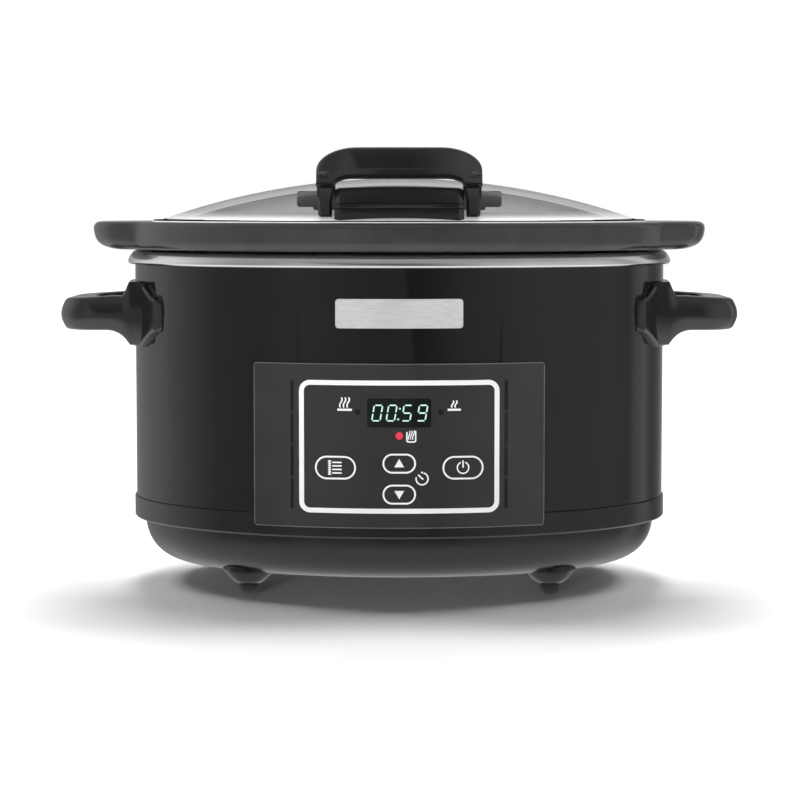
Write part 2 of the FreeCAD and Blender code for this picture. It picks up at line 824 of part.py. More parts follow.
def make_panel_bezel():
    """Raised moulding with a recess for the overlay, side slots and four rear bosses."""
    height = d.bezel_top - d.bezel_bottom
    middle = (d.bezel_top + d.bezel_bottom) / 2
    outline = front_block("bezel_outline", 0, middle, 2 * d.bezel_half_width, height, 3)
    plate = curved_plate("bezel_plate", d.skin_gap, d.bezel_proud, outline)
    band = oval("bezel_over_band", d.band_proud + d.skin_gap, BAND_BOTTOM - 10, d.shell_bottom + d.skin_gap)
    recess = curved_plate("overlay_recess", OVERLAY_BACK - d.skin_gap, d.bezel_proud + 5, front_block(
        "recess_outline", 0, overlay_middle(), 2 * d.overlay_half_width + 0.2,
        d.overlay_top - d.overlay_bottom + 0.2, d.overlay_corner))
    well = front_block("electronics_window", 0, overlay_middle(), 2 * d.panel_boss_x - 8,
                       d.overlay_top - d.overlay_bottom - 9, 2)
    slots = []
    for side in (-1, 1):
        for index, (low, high) in enumerate(slot_spans()):
            outline = front_block(f"slot_{side}_{index}", side * d.slot_x, (low + high) / 2,
                                  d.slot_width, high - low)
            slots.append(curved_plate(f"slot_cut_{side}_{index}", d.bezel_proud - 1.4,
                                      d.bezel_proud + 5, outline))
    carved = cut("bezel_carved", plate, band, recess, well, *slots)
    bosses = []
    for side in (-1, 1):
        for height_z in boss_heights():
            tag = f"{side}_{height_z.number:.0f}"
            x = side * d.panel_boss_x
            front = rear_reach(1, d.panel_boss_x)
            bosses.append(cylinder("panel_boss_" + tag, 3, (x, -front, height_z), BOARD_Y, "Y"))
    return sub_part("panel_bezel", fuse("bezel", carved, *bosses))


def slot_spans():
    """The side slots, parted by three bridges."""
    low = d.overlay_bottom + 1.6
    high = d.overlay_top + 0.4
    quarter = (high - low) / 4
    bridge = 0.8
    return [(low + n * quarter + bridge, low + (n + 1) * quarter - bridge) for n in range(4)]


BUTTONS = {
    "button_mode": (-d.side_button_x, d.side_button_z, d.side_button_width, d.side_button_height),
    "button_power": (d.side_button_x, d.side_button_z, d.side_button_width, d.side_button_height),
    "button_up": (sized(0), d.up_z, d.arrow_width, d.arrow_height),
    "button_down": (sized(0), d.down_z, d.arrow_width, d.arrow_height),
}
LAMPS = {
    "lamp_high": (-d.lamp_x, d.lamp_z, d.lamp_radius),
    "lamp_low": (d.lamp_x, d.lamp_z, d.lamp_radius),
    "lamp_warm": (sized(0), d.warm_lamp_z, d.warm_lamp_radius),
}


def make_panel_overlay():
    """Thin printed face with openings for the window, the buttons and the lamps."""
    sheet = curved_plate("overlay_sheet", OVERLAY_BACK, d.bezel_proud, front_block(
        "overlay_outline", 0, overlay_middle(), 2 * d.overlay_half_width,
        d.overlay_top - d.overlay_bottom, d.overlay_corner))
    openings = [front_block("window_opening", 0, d.window_z, d.window_width + 0.2,
                            d.window_height + 0.2, 1.5)]
    for name, (x, z, width, height) in BUTTONS.items():
        openings.append(front_block(name + "_opening", x, z, width + 2 * d.fit,
                                    height + 2 * d.fit, height / 2))
    for name, (x, z, radius) in LAMPS.items():
        openings.append(cylinder(name + "_opening", radius + d.skin_gap, (x, -d.body_ry - 20, z),
                                 BOARD_Y, "Y"))
    return sub_part("panel_overlay", cut("overlay", sheet, *openings))


def make_display():
    """Smoked window over the clock display module."""
    pane = front_block("window_outline", 0, d.window_z, d.window_width, d.window_height, 1.5)
    sub_part("display_window", curved_plate("window_pane", OVERLAY_BACK - 0.4, d.bezel_proud, pane))
    half_width = d.window_width / 2 - 1.5
    half_height = d.window_height / 2 - 1
    body = box("display_body", (-half_width, half_width),
               (-(d.body_ry + OVERLAY_BACK - 2.2), BOARD_Y),
               (d.window_z - half_height, d.window_z + half_height))
    return sub_part("display_module", body)


def make_lamps():
    """Light pipes from the board to the overlay."""
    for name, (x, z, radius) in LAMPS.items():
        pipe = cylinder(name + "_pipe", radius, (x, -d.body_ry - 20, z), BOARD_Y, "Y")
        inside = oval(name + "_limit", d.bezel_proud, z - 10, z + 10)
        sub_part(name, common(name + "_trimmed", pipe, inside))


def make_buttons():
    """Caps with a retaining flange behind the overlay and a stem over the switch."""
    for name, (x, z, width, height) in BUTTONS.items():
        cap = curved_plate(name + "_cap", 0.2, d.bezel_proud + d.button_proud,
                           front_block(name + "_outline", x, z, width, height, height / 2 - 0.05))
        collar = curved_plate(name + "_collar", 0.2, OVERLAY_BACK - d.fit,
                              front_block(name + "_rim", x, z, width + 2, height + 2, height / 2))
        switch_front = BOARD_Y - switch_height()
        stem = cylinder(name + "_stem", 2.2,
                        (x, -rear_reach(1, x), z), switch_front - d.button_travel - 0.15, "Y")
        sub_part(name, fuse(name + "_moulding", cap, collar, stem))


def switch_height():
    return sized(3.2)


def make_control_board():
    """Board with one push switch behind each button, and the cover that closes it off."""
    half = d.panel_boss_x + 3
    low = d.overlay_bottom + 3.5
    high = d.overlay_top - 3.5
    back = BOARD_Y + d.board_thickness
    sheet = box("control_sheet", (-half, half), (BOARD_Y, back), (low, high))
    holes = []
    screws = []
    for side in (-1, 1):
        for height_z in boss_heights():
            x, tag = side * d.panel_boss_x, f"{side}_{height_z.number:.0f}"
            holes.append(cylinder("control_hole_" + tag, d.screw_radius - 0.3 + d.skin_gap,
                                  (x, BOARD_Y - 1, height_z), BOARD_Y + 9, "Y"))
            head_y = back + 1.8
            head = cylinder("control_head_" + tag, 2.8, (x, head_y, height_z), head_y + 1.4, "Y")
            shank = cylinder("control_shank_" + tag, d.screw_radius - 0.3,
                             (x, BOARD_Y, height_z), head_y, "Y")
            screws.append(fuse("control_screw_" + tag, head, shank))
    sub_part("control_board", cut("control_sheet_drilled", sheet, *holes))
    sub_part("control_screws", group("control_screw_set", *screws))
    switches = []
    for name, (x, z, width, height) in BUTTONS.items():
        case = box(name + "_switch_case", (x - 3, x + 3), (BOARD_Y - switch_height() + 0.8, BOARD_Y),
                   (z - 3, z + 3))
        plunger = cylinder(name + "_plunger", 1.6, (x, BOARD_Y - switch_height(), z), BOARD_Y, "Y")
        switches.append(fuse(name + "_switch", case, plunger))
    sub_part("tact_switches", group("switch_set", *switches))
    wall = 1.5
    lid = box("cover_lid", (-half - 2, half + 2), (back + 0.3, back + 1.8), (low - 2, high + 2))
    skirts = [
        box(f"cover_side_{side}", tuple(sorted_span(side * (half + 0.4), side * (half + 2))),
            (BOARD_Y - 1, back + 1.8), (low - 2, high + 2))
        for side in (-1, 1)
    ]
    skirts.append(box("cover_floor", (-half - 2, half + 2), (BOARD_Y - 1, back + 1.8),
                      (low - 2, low - 2 + wall)))
    skirts.append(box("cover_roof", (-half - 2, half + 2), (BOARD_Y - 1, back + 1.8),
                      (high + 2 - wall, high + 2)))
    inside = oval("cover_limit", -d.shell_wall - d.skin_gap, low - 10, high + 10)
    tray = common("cover_tray", fuse("cover_walls", lid, *skirts), inside)
    return sub_part("control_cover", cut("cover_drilled", tray, *holes))


def sorted_span(first, second):
    return (first, second) if first.number < second.number else (second, first)


def make_badge():
    """Blank brushed plate above the panel."""
    outline = front_block("badge_outline", 0, BADGE_Z, d.badge_width, d.badge_height, 2)
    return sub_part("badge", curved_plate("badge_plate", d.skin_gap, d.badge_thickness, outline))


# --- side handles --------------------------------------------------------------------------------


def make_side_handles():
    """A loop and a six-sided mounting pad in one moulding, at each end."""
    for side, name in ((-1, "side_handle_left"), (1, "side_handle_right")):
        top = HANDLE_BOTTOM + d.handle_height
        loop = new_body(f"loop_{name}")
        outer = new_sketch(loop, f"loop_outline_{name}", "XY_Plane", HANDLE_BOTTOM)
        near = side * (d.body_rx - 28)
        far = side * HANDLE_REACH
        half = d.handle_half_width
        draw_outline(outer, [(near, -half), (far, -half), (far, half), (near, half)])
        pad(loop, f"loop_pad_{name}", outer, d.handle_height)
        round_edges(loop, f"loop_corners_{name}", d.handle_corner, far_from_axis)
        opening = new_sketch(loop, f"loop_opening_{name}", "XY_Plane", top)
        inner_far = side * (HANDLE_REACH - d.handle_bar)
        inner_half = half - d.handle_bar + 3
        inner_near = side * (d.body_rx - 18)
        draw_outline(opening, [(inner_near, -inner_half), (inner_far, -inner_half),
                               (inner_far, inner_half), (inner_near, inner_half)])
        pocket(loop, f"loop_pocket_{name}", opening, d.handle_height)
        limit = inner_far.number

        def inner_corner(edge, limit=limit):
            return along("Z")(edge) and abs(edge.CenterOfMass.x - limit) < 0.01

        round_edges(loop, f"loop_inner_{name}", d.handle_corner - 13, inner_corner)

        beyond = (d.body_rx - 13).number

        def grip_edge(edge, beyond=beyond):
            flat = edge.BoundBox.ZLength < 0.01
            return flat and max(abs(edge.BoundBox.XMax), abs(edge.BoundBox.XMin)) > beyond

        round_edges(loop, f"loop_soften_{name}", 5, grip_edge)
        flare = new_body(f"flare_{name}")
        face = new_sketch(flare, f"flare_outline_{name}", "YZ_Plane")
        low, high = PAD_BOTTOM, PAD_TOP
        middle = (low + high) / 2
        wing = half + 14
        draw_outline(face, [
            (-wing, middle - 9), (-half + 6, low), (half - 6, low), (wing, middle - 9),
            (wing, middle + 9), (half - 6, high), (-half + 6, high), (-wing, middle + 9),
        ])
        pad(flare, f"flare_pad_{name}", face, 2 * HANDLE_REACH, both_ways=True)
        ring = oval_ring(f"flare_ring_{name}", d.handle_pad_proud, d.skin_gap, low - 5, high + 5)
        half_space = box(f"end_side_{name}", sorted_span(side * (d.body_rx - 68), side * HANDLE_REACH),
                         (-100, 100), (low - 10, high + 10))
        plate = common(f"plate_{name}", common(f"flare_cut_{name}", ring, flare), half_space)
        inside = oval(f"handle_inside_{name}", d.skin_gap, low - 10, high + 10)
        trimmed = cut(f"loop_trimmed_{name}", loop, inside)
        blank = fuse(f"handle_{name}", plate, trimmed)
        bores = []
        for sy in (-1, 1):
            start, end = sorted_span(side * (d.body_rx - 18), side * (d.body_rx + 22))
            bores.append(cylinder(f"bore_{name}_{sy}", d.screw_radius + d.skin_gap,
                                  (start, sy * d.handle_screw_y, handle_middle()), end, "X"))
        sub_part(name, cut(f"drilled_{name}", blank, *bores))


def make_side_handle_screws():
    """Screws driven outwards from inside the wrapper, two for each handle."""
    screws = []
    for side in (-1, 1):
        for sy in (-1, 1):
            tag = f"{side}_{sy}"
            y = sy * d.handle_screw_y
            inside = end_reach(-d.shell_wall - d.skin_gap, d.handle_screw_y + d.screw_head_radius)
            head_span = sorted_span(side * (inside - d.screw_head), side * inside)
            shank_span = sorted_span(side * (inside - 1), side * (d.body_rx + 16))
            centre = (head_span[0], y, handle_middle())
            head = cylinder("side_head_" + tag, d.screw_head_radius, centre, head_span[1], "X")
            centre = (shank_span[0], y, handle_middle())
            shank = cylinder("side_shank_" + tag, d.screw_radius, centre, shank_span[1], "X")
            screws.append(fuse("side_screw_" + tag, head, shank))
    return sub_part("side_handle_screws", group("side_screw_set", *screws))


def end_reach(grow, y):
    """How far from the centre, towards the end, an oval layer lies at y."""
    rx = d.body_rx + grow
    ry = d.body_ry + grow
    y = sized(y)
    ratio = (y.number / ry.number) ** 2
    formula = f"({rx.formula} * sqrt(1 - ({y.formula} / {ry.formula}) ^ 2))"
    return Size(rx.number * (1 - ratio) ** 0.5, formula)


# --- rear hinge ----------------------------------------------------------------------------------


def make_hinge_bracket():
    """Rear bracket: a pad screwed to the wrapper and a tower with a socket open at the top."""
    low, high = PAD_BOTTOM + 14, RING_BOTTOM - 1
    half = d.bracket_half_width
    outline = block("bracket_outline", "XZ_Plane", (-half, half), (low, high), -200, 120, 4)
    base = common("bracket_base",
                  oval_ring("bracket_ring", 5, d.skin_gap, low - 5, high + 5), outline)
    tower_half = d.leaf_half_width + 6
    front = PIN_Y - d.leaf_thickness / 2 - 4
    back = PIN_Y + d.leaf_thickness / 2 + 4
    tower = block("bracket_tower", "XY_Plane", (-tower_half, tower_half), (front, back),
                  low + 8, SOCKET_TOP - low - 8, 2)
    neck = box("bracket_neck", (-tower_half, tower_half), (d.body_ry, front + 2), (low + 8, high - 3))
    wall = oval("bracket_wall", d.skin_gap, low - 10, SOCKET_TOP + 10)
    slot = box("bracket_socket", (-d.leaf_half_width - d.fit, d.leaf_half_width + d.fit),
               (front + 4 - d.fit, back - 4 + d.fit),
               (SOCKET_TOP - d.leaf_depth - d.fit, SOCKET_TOP + 1))
    bores = []
    for side in (-1, 1):
        for level_z in bracket_screw_heights():
            centre = (side * (half - 8), d.body_ry - 28, level_z)
            bores.append(cylinder(f"bracket_bore_{side}_{level_z.number:.0f}",
                                  d.screw_radius + d.skin_gap, centre, d.body_ry + 22, "Y"))
    blank = fuse("bracket_blank", base, tower, cut("bracket_neck_cut", neck, wall))
    return sub_part("hinge_bracket", cut("bracket", blank, slot, *bores))


def make_hinge_bracket_screws():
    screws = []
    for side in (-1, 1):
        for level_z in bracket_screw_heights():
            x = side * (d.bracket_half_width - 8)
            x_edge = d.bracket_half_width - 8 + d.screw_head_radius
            inside = rear_reach(-d.shell_wall - d.skin_gap, x_edge)
            outside = rear_reach(4.4, d.bracket_half_width - 8)
            tag = f"{side}_{level_z.number:.0f}"
            head = cylinder("bracket_head_" + tag, d.screw_head_radius,
                            (x, inside - d.screw_head, level_z), inside, "Y")
            shank = cylinder("bracket_shank_" + tag, d.screw_radius, (x, inside - 1, level_z),
                             outside, "Y")
            screws.append(fuse("bracket_screw_" + tag, head, shank))
    return sub_part("hinge_bracket_screws", group("bracket_screw_set", *screws))


def make_hinge_leaf():
    """Plug that drops into the bracket's socket and carries the pin."""
    front = PIN_Y - d.leaf_thickness / 2
    back = PIN_Y + d.leaf_thickness / 2
    blade = box("leaf_blade", (-d.leaf_half_width, d.leaf_half_width), (front, back),
                (SOCKET_TOP - d.leaf_depth, SOCKET_TOP + 1))
    collar = block("leaf_collar", "XY_Plane", (-d.leaf_half_width - 4, d.leaf_half_width + 4),
                   (front - 2.5, back + 2.5), SOCKET_TOP + d.fit, 3, 1.5)
    neck = box("leaf_neck", (-d.barrel_half_width, d.barrel_half_width), (front, back),
               (SOCKET_TOP + 1, PIN_Z))
    barrel = cylinder("leaf_barrel", d.barrel_radius,
                      (-d.barrel_half_width, PIN_Y, PIN_Z), d.barrel_half_width, "X")
    bore = cylinder("leaf_bore", d.pin_radius + d.skin_gap, (-40, PIN_Y, PIN_Z), 40, "X")
    return sub_part("hinge_leaf", cut("leaf", fuse("leaf_blank", blade, collar, neck, barrel), bore))


def make_hinge_pin():
    end = d.barrel_half_width + 0.5 + d.knuckle_width
    return sub_part("hinge_pin", cylinder("pin", d.pin_radius, (-end, PIN_Y, PIN_Z), end, "X"))


# --- crock ---------------------------------------------------------------------------------------


def make_crock():
    """Stoneware pot with a wide rim, a recess for the lid and a lifting lug at each end."""
    body = oval_pot("crock_body", CROCK_OUTSIDE, CROCK_BOTTOM, RIM_BOTTOM + 2, d.crock_round)
    rim = new_body("rim_body")
    ring = new_sketch(rim, "rim_outline", "XY_Plane", RIM_BOTTOM)
    draw_ellipse(ring, d.rim_proud)
    pad(rim, "rim_pad", ring, d.rim_height)
    round_edges(rim, "rim_top_round", d.rim_round, level(RIM_TOP))
    round_edges(rim, "rim_bottom_round", d.rim_bottom_round, level(RIM_BOTTOM))
    lugs = [make_lug(side, name) for side, name in ((-1, "left"), (1, "right"))]
    blank = fuse("crock_blank", body, rim, *lugs)
    hollow = oval_pot("hollow_body", CROCK_INSIDE, CROCK_BOTTOM + d.crock_floor, RECESS_BOTTOM + 1,
                      d.crock_inner_round)
    recess = oval("recess", d.lid_fit - d.lid_inset, RECESS_BOTTOM, RIM_TOP + 5)
    mouth = tool("Part::Loft", "crock_mouth")
    mouth.Sections = [
        flat_oval("mouth_low", CROCK_INSIDE - 0.2, RIM_BOTTOM - 3),
        flat_oval("mouth_high", d.mouth_width - d.lid_inset, RECESS_BOTTOM + 0.5),
    ]
    mouth.Solid = True
    mouth.Ruled = True
    return sub_part("crock", cut("crock_pot", blank, hollow, recess, mouth))


def make_lug(side, name):
    """A lug with a curved underside, narrower at its end than where it leaves the rim."""
    side_view = new_body(f"lug_side_{name}")
    profile = new_sketch(side_view, f"lug_profile_{name}", "XZ_Plane")
    root_x = side * (d.body_rx - 48)
    far = side * LUG_REACH
    under = side * (LUG_REACH - d.lug_undercut)
    draw_outline(profile, [
        (root_x, RIM_BOTTOM),
        (under, RIM_BOTTOM),
        (side * (LUG_REACH - 4.5), RIM_BOTTOM + 5.6, "arc"),
        (far, RIM_TOP - 4.6),
        (side * (LUG_REACH - 0.9), RIM_TOP - 1.1, "arc"),
        (side * (LUG_REACH - 4.2), RIM_TOP),
        (root_x, RIM_TOP),
    ])
    pad(side_view, f"lug_side_pad_{name}", profile, 4 * d.lug_half_width, both_ways=True)
    plan = new_body(f"lug_plan_{name}")
    outline = new_sketch(plan, f"lug_outline_{name}", "XY_Plane", RIM_BOTTOM)
    half = d.lug_half_width
    shoulder = side * (d.body_rx - 14)
    root_y = half + 16
    draw_outline(outline, [
        (root_x, -root_y),
        (side * (d.body_rx - 28), -root_y),
        (shoulder, -half - 5, "arc"),
        (side * (d.body_rx + 2), -half),
        (side * (LUG_REACH - 4.5), -half * 0.72, "arc"),
        (far, 0),
        (side * (LUG_REACH - 4.5), half * 0.72, "arc"),
        (side * (d.body_rx + 2), half),
        (shoulder, half + 5, "arc"),
        (side * (d.body_rx - 28), root_y),
        (root_x, root_y),
    ])
    pad(plan, f"lug_plan_pad_{name}", outline, d.rim_height)
    return common(f"lug_{name}", side_view, plan)


# --- lid -----------------------------------------------------------------------------------------


def ellipsoid(name, shrink):
    """The glass dome's surface, or one parallel to it at a depth of shrink."""
    rx = d.body_rx + DOME_EDGE
    ry = d.body_ry + DOME_EDGE
    curve = (rx * rx + d.dome_height * d.dome_height) / (2 * d.dome_height)
    item = tool("Part::Ellipsoid", name)
    bind(item, {"Radius1": curve - shrink, "Radius2": curve - shrink, "Radius3": curve * ry / rx - shrink})
    item.Angle1 = -90
    item.Angle2 = 90
    item.Angle3 = 360
    return place(item, 0, 0, DOME_TOP - curve)


def glass_screw_places():
    """Where the handle block and the hinge bar are screwed through the glass."""
    front = [(side * d.block_screw_x, BLOCK_Y) for side in (-1, 1)]
    rear = [(side * d.tab_screw_x, TAB_SCREW_Y) for side in (-1, 1)]
    return front, rear


def make_lid_glass():
    """Domed glass with a flat flange that lies in the crock's recess."""
    dome = common("dome", oval("dome_limit", DOME_EDGE, FLANGE_BOTTOM, DOME_TOP + 5),
                  ellipsoid("dome_outside", 0))
    flange = new_body("flange_body")
    sketch = new_sketch(flange, "flange_outline", "XY_Plane", FLANGE_BOTTOM)
    draw_ellipse(sketch, -d.lid_inset)
    pad(flange, "flange_pad", sketch, d.flange_height)
    round_edges(flange, "flange_round", 1.6, lambda edge: edge.BoundBox.ZLength < 0.01)
    holes = []
    for row in glass_screw_places():
        for x, y in row:
            holes.append(cylinder(f"glass_hole_{x.number:.0f}_{y.number:.0f}", d.screw_radius + 0.9,
                                  (x, y, FLANGE_BOTTOM - 5), DOME_TOP + 5))
    blank = fuse("lid_blank", dome, flange)
    return sub_part("lid_glass", cut("lid", blank, ellipsoid("dome_inside", d.glass_thickness), *holes))


def make_lid_handle_base():
    """Block on the glass, with side pockets for the grip's tenons."""
    body = new_body("block_body")
    profile = new_sketch(body, "block_profile", "YZ_Plane", 0)
    middle = BLOCK_Y
    lip = BLOCK_TOP - 9
    draw_outline(profile, [
        (middle - 14, FLANGE_TOP),
        (middle - 14, lip),
        (middle - 12.6, lip + 1.5),
        (middle - 8, BLOCK_TOP - 2),
        (middle - 6, BLOCK_TOP),
        (middle + 8, BLOCK_TOP),
        (middle + 14, lip + 2),
        (middle + 14, FLANGE_TOP),
    ])
    pad(body, "block_pad", profile, 2 * (d.block_half_width + 2.2), both_ways=True)
    face = new_body("block_face")
    outline = new_sketch(face, "block_outline", "XZ_Plane")
    half = d.block_half_width
    draw_outline(outline, [
        (-half - 1.6, FLANGE_TOP), (half + 1.6, FLANGE_TOP), (half + 2.2, lip + 1),
        (half, BLOCK_TOP - 0.8), (0, BLOCK_TOP + 0.2, "arc"), (-half, BLOCK_TOP - 0.8),
        (-half - 2.2, lip + 1),
    ])
    pad(face, "block_face_pad", outline, 400, both_ways=True)
    shaped = common("block_shaped", body, face)
    pockets = [tenon(f"pocket_{side}", side, d.skin_gap) for side in (-1, 1)]
    holes = [
        cylinder(f"block_hole_{side}", d.screw_radius + d.skin_gap,
                 (side * d.block_screw_x, BLOCK_Y, FLANGE_BOTTOM), BLOCK_TOP - 6)
        for side in (-1, 1)
    ]
    seat = ellipsoid("block_seat", -d.skin_gap)
    return sub_part("lid_handle_base", cut("block", shaped, seat, *pockets, *holes))


def tenon(name, side, clearance):
    """The stub that holds a grip leg in the side of the block."""
    inner = d.grip_half_width - d.grip_leg - 7 - clearance
    outer = d.grip_half_width - d.grip_leg + 1
    middle = BLOCK_Y - 1
    return box(name, sorted_span(side * inner, side * outer),
               (middle - 4 - clearance, middle + 4 + clearance),
               (BLOCK_TOP - 11 - clearance, BLOCK_TOP - 6 + clearance))


def make_lid_handle_grip():
    """Arched grip that leans forward over the block, its two legs standing on the glass."""
    half = d.grip_half_width
    arch = new_body("arch_body")
    outline = new_sketch(arch, "arch_outline", "XZ_Plane")
    inner = half - d.grip_leg
    foot = FLANGE_TOP + 1
    corner = d.grip_corner
    draw_outline(outline, [
        (-half + 3, foot), (-half + 0.6, foot + 8), (-half, GRIP_TOP - corner),
        (-half + corner * 0.52, GRIP_TOP - corner * 0.30, "arc"), (-half + corner * 1.8, GRIP_TOP),
        (half - corner * 1.8, GRIP_TOP), (half - corner * 0.52, GRIP_TOP - corner * 0.30, "arc"),
        (half, GRIP_TOP - corner), (half - 0.6, foot + 8), (half - 3, foot),
        (inner, foot), (inner, GRIP_UNDERSIDE - 9),
        (inner - 4, GRIP_UNDERSIDE - 2.6, "arc"), (inner - 14, GRIP_UNDERSIDE),
        (-inner + 14, GRIP_UNDERSIDE), (-inner + 4, GRIP_UNDERSIDE - 2.6, "arc"),
        (-inner, GRIP_UNDERSIDE - 9), (-inner, foot),
    ])
    pad(arch, "arch_pad", outline, 400, both_ways=True)
    side_view = new_body("lean_body")
    profile = new_sketch(side_view, "lean_profile", "YZ_Plane")
    front = GRIP_Y
    draw_outline(profile, [
        (BLOCK_Y - 9, foot),
        (BLOCK_Y - 10, foot + 10),
        (BLOCK_Y - 13, foot + 18, "arc"),
        (front + 3, GRIP_UNDERSIDE - 2),
        (front, GRIP_UNDERSIDE + 1.5),
        (front + 0.3, GRIP_UNDERSIDE + 7, "arc"),
        (front + 3.2, GRIP_TOP - 3),
        (front + 7, GRIP_TOP),
        (front + 18, GRIP_TOP - 1),
        (front + 20.5, GRIP_TOP - 4),
        (front + 24, GRIP_UNDERSIDE + 2, "arc"),
        (BLOCK_Y + 7, foot + 8),
        (BLOCK_Y + 7, foot),
    ])
    pad(side_view, "lean_pad", profile, 2 * half + 20, both_ways=True)
    shaped = common("grip_shaped", arch, side_view)
    tenons = [tenon(f"tenon_{side}", side, sized(0)) for side in (-1, 1)]
    seat = ellipsoid("grip_seat", -d.skin_gap)
    return sub_part("lid_handle_grip", cut("grip", fuse("grip_blank", shaped, *tenons), seat))


def make_lid_hinge_bar():
    """Bar along the rear of the lid: knuckles for the pin and a tab screwed to the glass."""
    half = d.bar_half_width
    rear = PIN_Y - d.barrel_radius - 1.2
    bar = block("bar_beam", "XZ_Plane", (-half, half), (BAR_BOTTOM, BAR_TOP), -rear, 11, 2)
    low = BAR_BOTTOM - 2.2
    web = block("bar_web", "XZ_Plane", (-half + 11, half - 11), (low, BAR_TOP - 1),
                -rear + 1, 9, 1.5)
    tab_half = d.tab_screw_x + 16
    tab = new_body("tab_body")
    profile = new_sketch(tab, "tab_profile", "YZ_Plane")
    near = TAB_SCREW_Y - 11
    draw_outline(profile, [
        (near, FLANGE_TOP + 2), (near, BAR_TOP - 5.5), (near + 4, BAR_TOP - 3),
        (rear - 8, BAR_TOP - 3), (rear - 8, low), (rear - 14, FLANGE_TOP + 2),
    ])
    pad(tab, "tab_pad", profile, 2 * tab_half, both_ways=True)
    start = d.barrel_half_width + 0.5
    knuckles = []
    for side in (-1, 1):
        span = sorted_span(side * start, side * (start + d.knuckle_width))
        tube = cylinder(f"knuckle_tube_{side}", d.barrel_radius, (span[0], PIN_Y, PIN_Z), span[1], "X")
        arm = box(f"knuckle_arm_{side}", span, (rear - 3, PIN_Y), (PIN_Z - 4, PIN_Z + 5))
        knuckles += [tube, arm]
    bores = [cylinder("bar_bore", d.pin_radius + d.skin_gap, (-60, PIN_Y, PIN_Z), 60, "X")]
    for side in (-1, 1):
        bores.append(cylinder(f"tab_hole_{side}", d.screw_radius + d.skin_gap,
                              (side * d.tab_screw_x, TAB_SCREW_Y, FLANGE_BOTTOM),
                              BLOCK_TOP - 6))
    seat = ellipsoid("tab_seat", -d.skin_gap)
    blank = fuse("bar_blank", bar, web, tab, *knuckles)
    return sub_part("lid_hinge_bar", cut("hinge_bar", blank, seat, *bores))


def glass_underside(x, y):
    """Height of the inside of the dome, taken as flat over a screw's head."""
    rx = d.body_rx + DOME_EDGE
    ry = d.body_ry + DOME_EDGE
    share = (x * x) / (rx * rx) + (y * y) / (ry * ry)
    return DOME_TOP - d.glass_thickness - d.dome_height * share - 1.5


def make_lid_screws():
    """Screws and soft washers under the glass, for the handle and for the hinge bar."""
    for label, row in zip(("lid_handle", "lid_hinge"), glass_screw_places()):
        screws = []
        washers = []
        for x, y in row:
            tag = f"{label}_{x.number:.0f}"
            seat = glass_underside(x, y)
            ring = cylinder("washer_ring_" + tag, d.screw_head_radius + 1.6, (x, y, seat - 1.2), seat + 3)
            hole = cylinder("washer_hole_" + tag, d.screw_radius + d.skin_gap, (x, y, seat - 3), seat + 6)
            below = common("washer_blank_" + tag, ring, ellipsoid("washer_dome_" + tag,
                                                                  d.glass_thickness + d.skin_gap))
            washers.append(cut("washer_" + tag, below, hole))
            head_z = seat - 1.2 - d.screw_head
            screws.append(upright_screw("lid_screw_" + tag, x, y, head_z, BLOCK_TOP - 7))
        sub_part(label + "_washers", group(label + "_washer_set", *washers))
        sub_part(label + "_screws", group(label + "_screw_set", *screws))


# --- build, check and write ------------------------------------------------------------------------

make_housing_shell()
make_base_band()
make_base_pan()
make_foot_pads()
make_base_screws()
make_cord_gland()
make_trim_ring()
make_heating_well()
make_well_legs()
make_heater_band()
make_heater_straps()
make_thermal_fuse()
make_temperature_sensor()
make_power_board()
make_panel_bezel()
make_panel_overlay()
make_display()
make_lamps()
make_buttons()
make_control_board()
make_badge()
make_side_handles()
make_side_handle_screws()
make_hinge_bracket()
make_hinge_bracket_screws()
make_hinge_leaf()
make_hinge_pin()
make_crock()
make_lid_glass()
make_lid_handle_base()
make_lid_handle_grip()
make_lid_hinge_bar()
make_lid_screws()
doc.recompute()

faults = [f"{item.Label}: {item.State}" for item in doc.Objects
          if "Invalid" in item.State or "Error" in item.State]
for name, item in sub_parts.items():
    if item.Shape.isNull() or not item.Shape.isValid() or not item.Shape.Solids:
        faults.append(f"{name}: no valid solid")
if faults:
    raise RuntimeError("; ".join(faults))

os.makedirs("parts", exist_ok=True)
for name, item in sub_parts.items():
    item.Shape.exportStep(f"parts/{name}.step")
print(len(sub_parts), "sub-parts written")
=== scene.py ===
import math

import bmesh
import bpy
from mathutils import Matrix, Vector


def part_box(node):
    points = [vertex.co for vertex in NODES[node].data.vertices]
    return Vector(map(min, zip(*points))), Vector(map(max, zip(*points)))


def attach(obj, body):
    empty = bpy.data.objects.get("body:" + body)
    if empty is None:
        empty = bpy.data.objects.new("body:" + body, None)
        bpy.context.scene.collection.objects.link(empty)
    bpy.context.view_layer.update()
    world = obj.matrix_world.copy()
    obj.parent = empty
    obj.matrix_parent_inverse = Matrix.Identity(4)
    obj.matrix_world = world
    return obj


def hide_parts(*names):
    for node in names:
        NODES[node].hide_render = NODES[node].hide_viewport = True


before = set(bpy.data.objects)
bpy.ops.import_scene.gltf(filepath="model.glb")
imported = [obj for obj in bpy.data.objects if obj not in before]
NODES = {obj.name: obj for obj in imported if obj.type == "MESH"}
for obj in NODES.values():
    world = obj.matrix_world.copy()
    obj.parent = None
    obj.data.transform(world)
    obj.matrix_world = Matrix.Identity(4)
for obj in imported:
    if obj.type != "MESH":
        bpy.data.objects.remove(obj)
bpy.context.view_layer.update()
MM = 0.001
SCENE = bpy.context.scene


# --- places taken from the frame ------

shell_low, shell_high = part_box("housing_shell")
CY = (shell_low.y + shell_high.y) / 2
RX = (shell_high.x - shell_low.x) / 2
RY = (shell_high.y - shell_low.y) / 2


def span(node):
    """Bottom and top of a CAD node."""
    low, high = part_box(node)
    return low.z, high.z


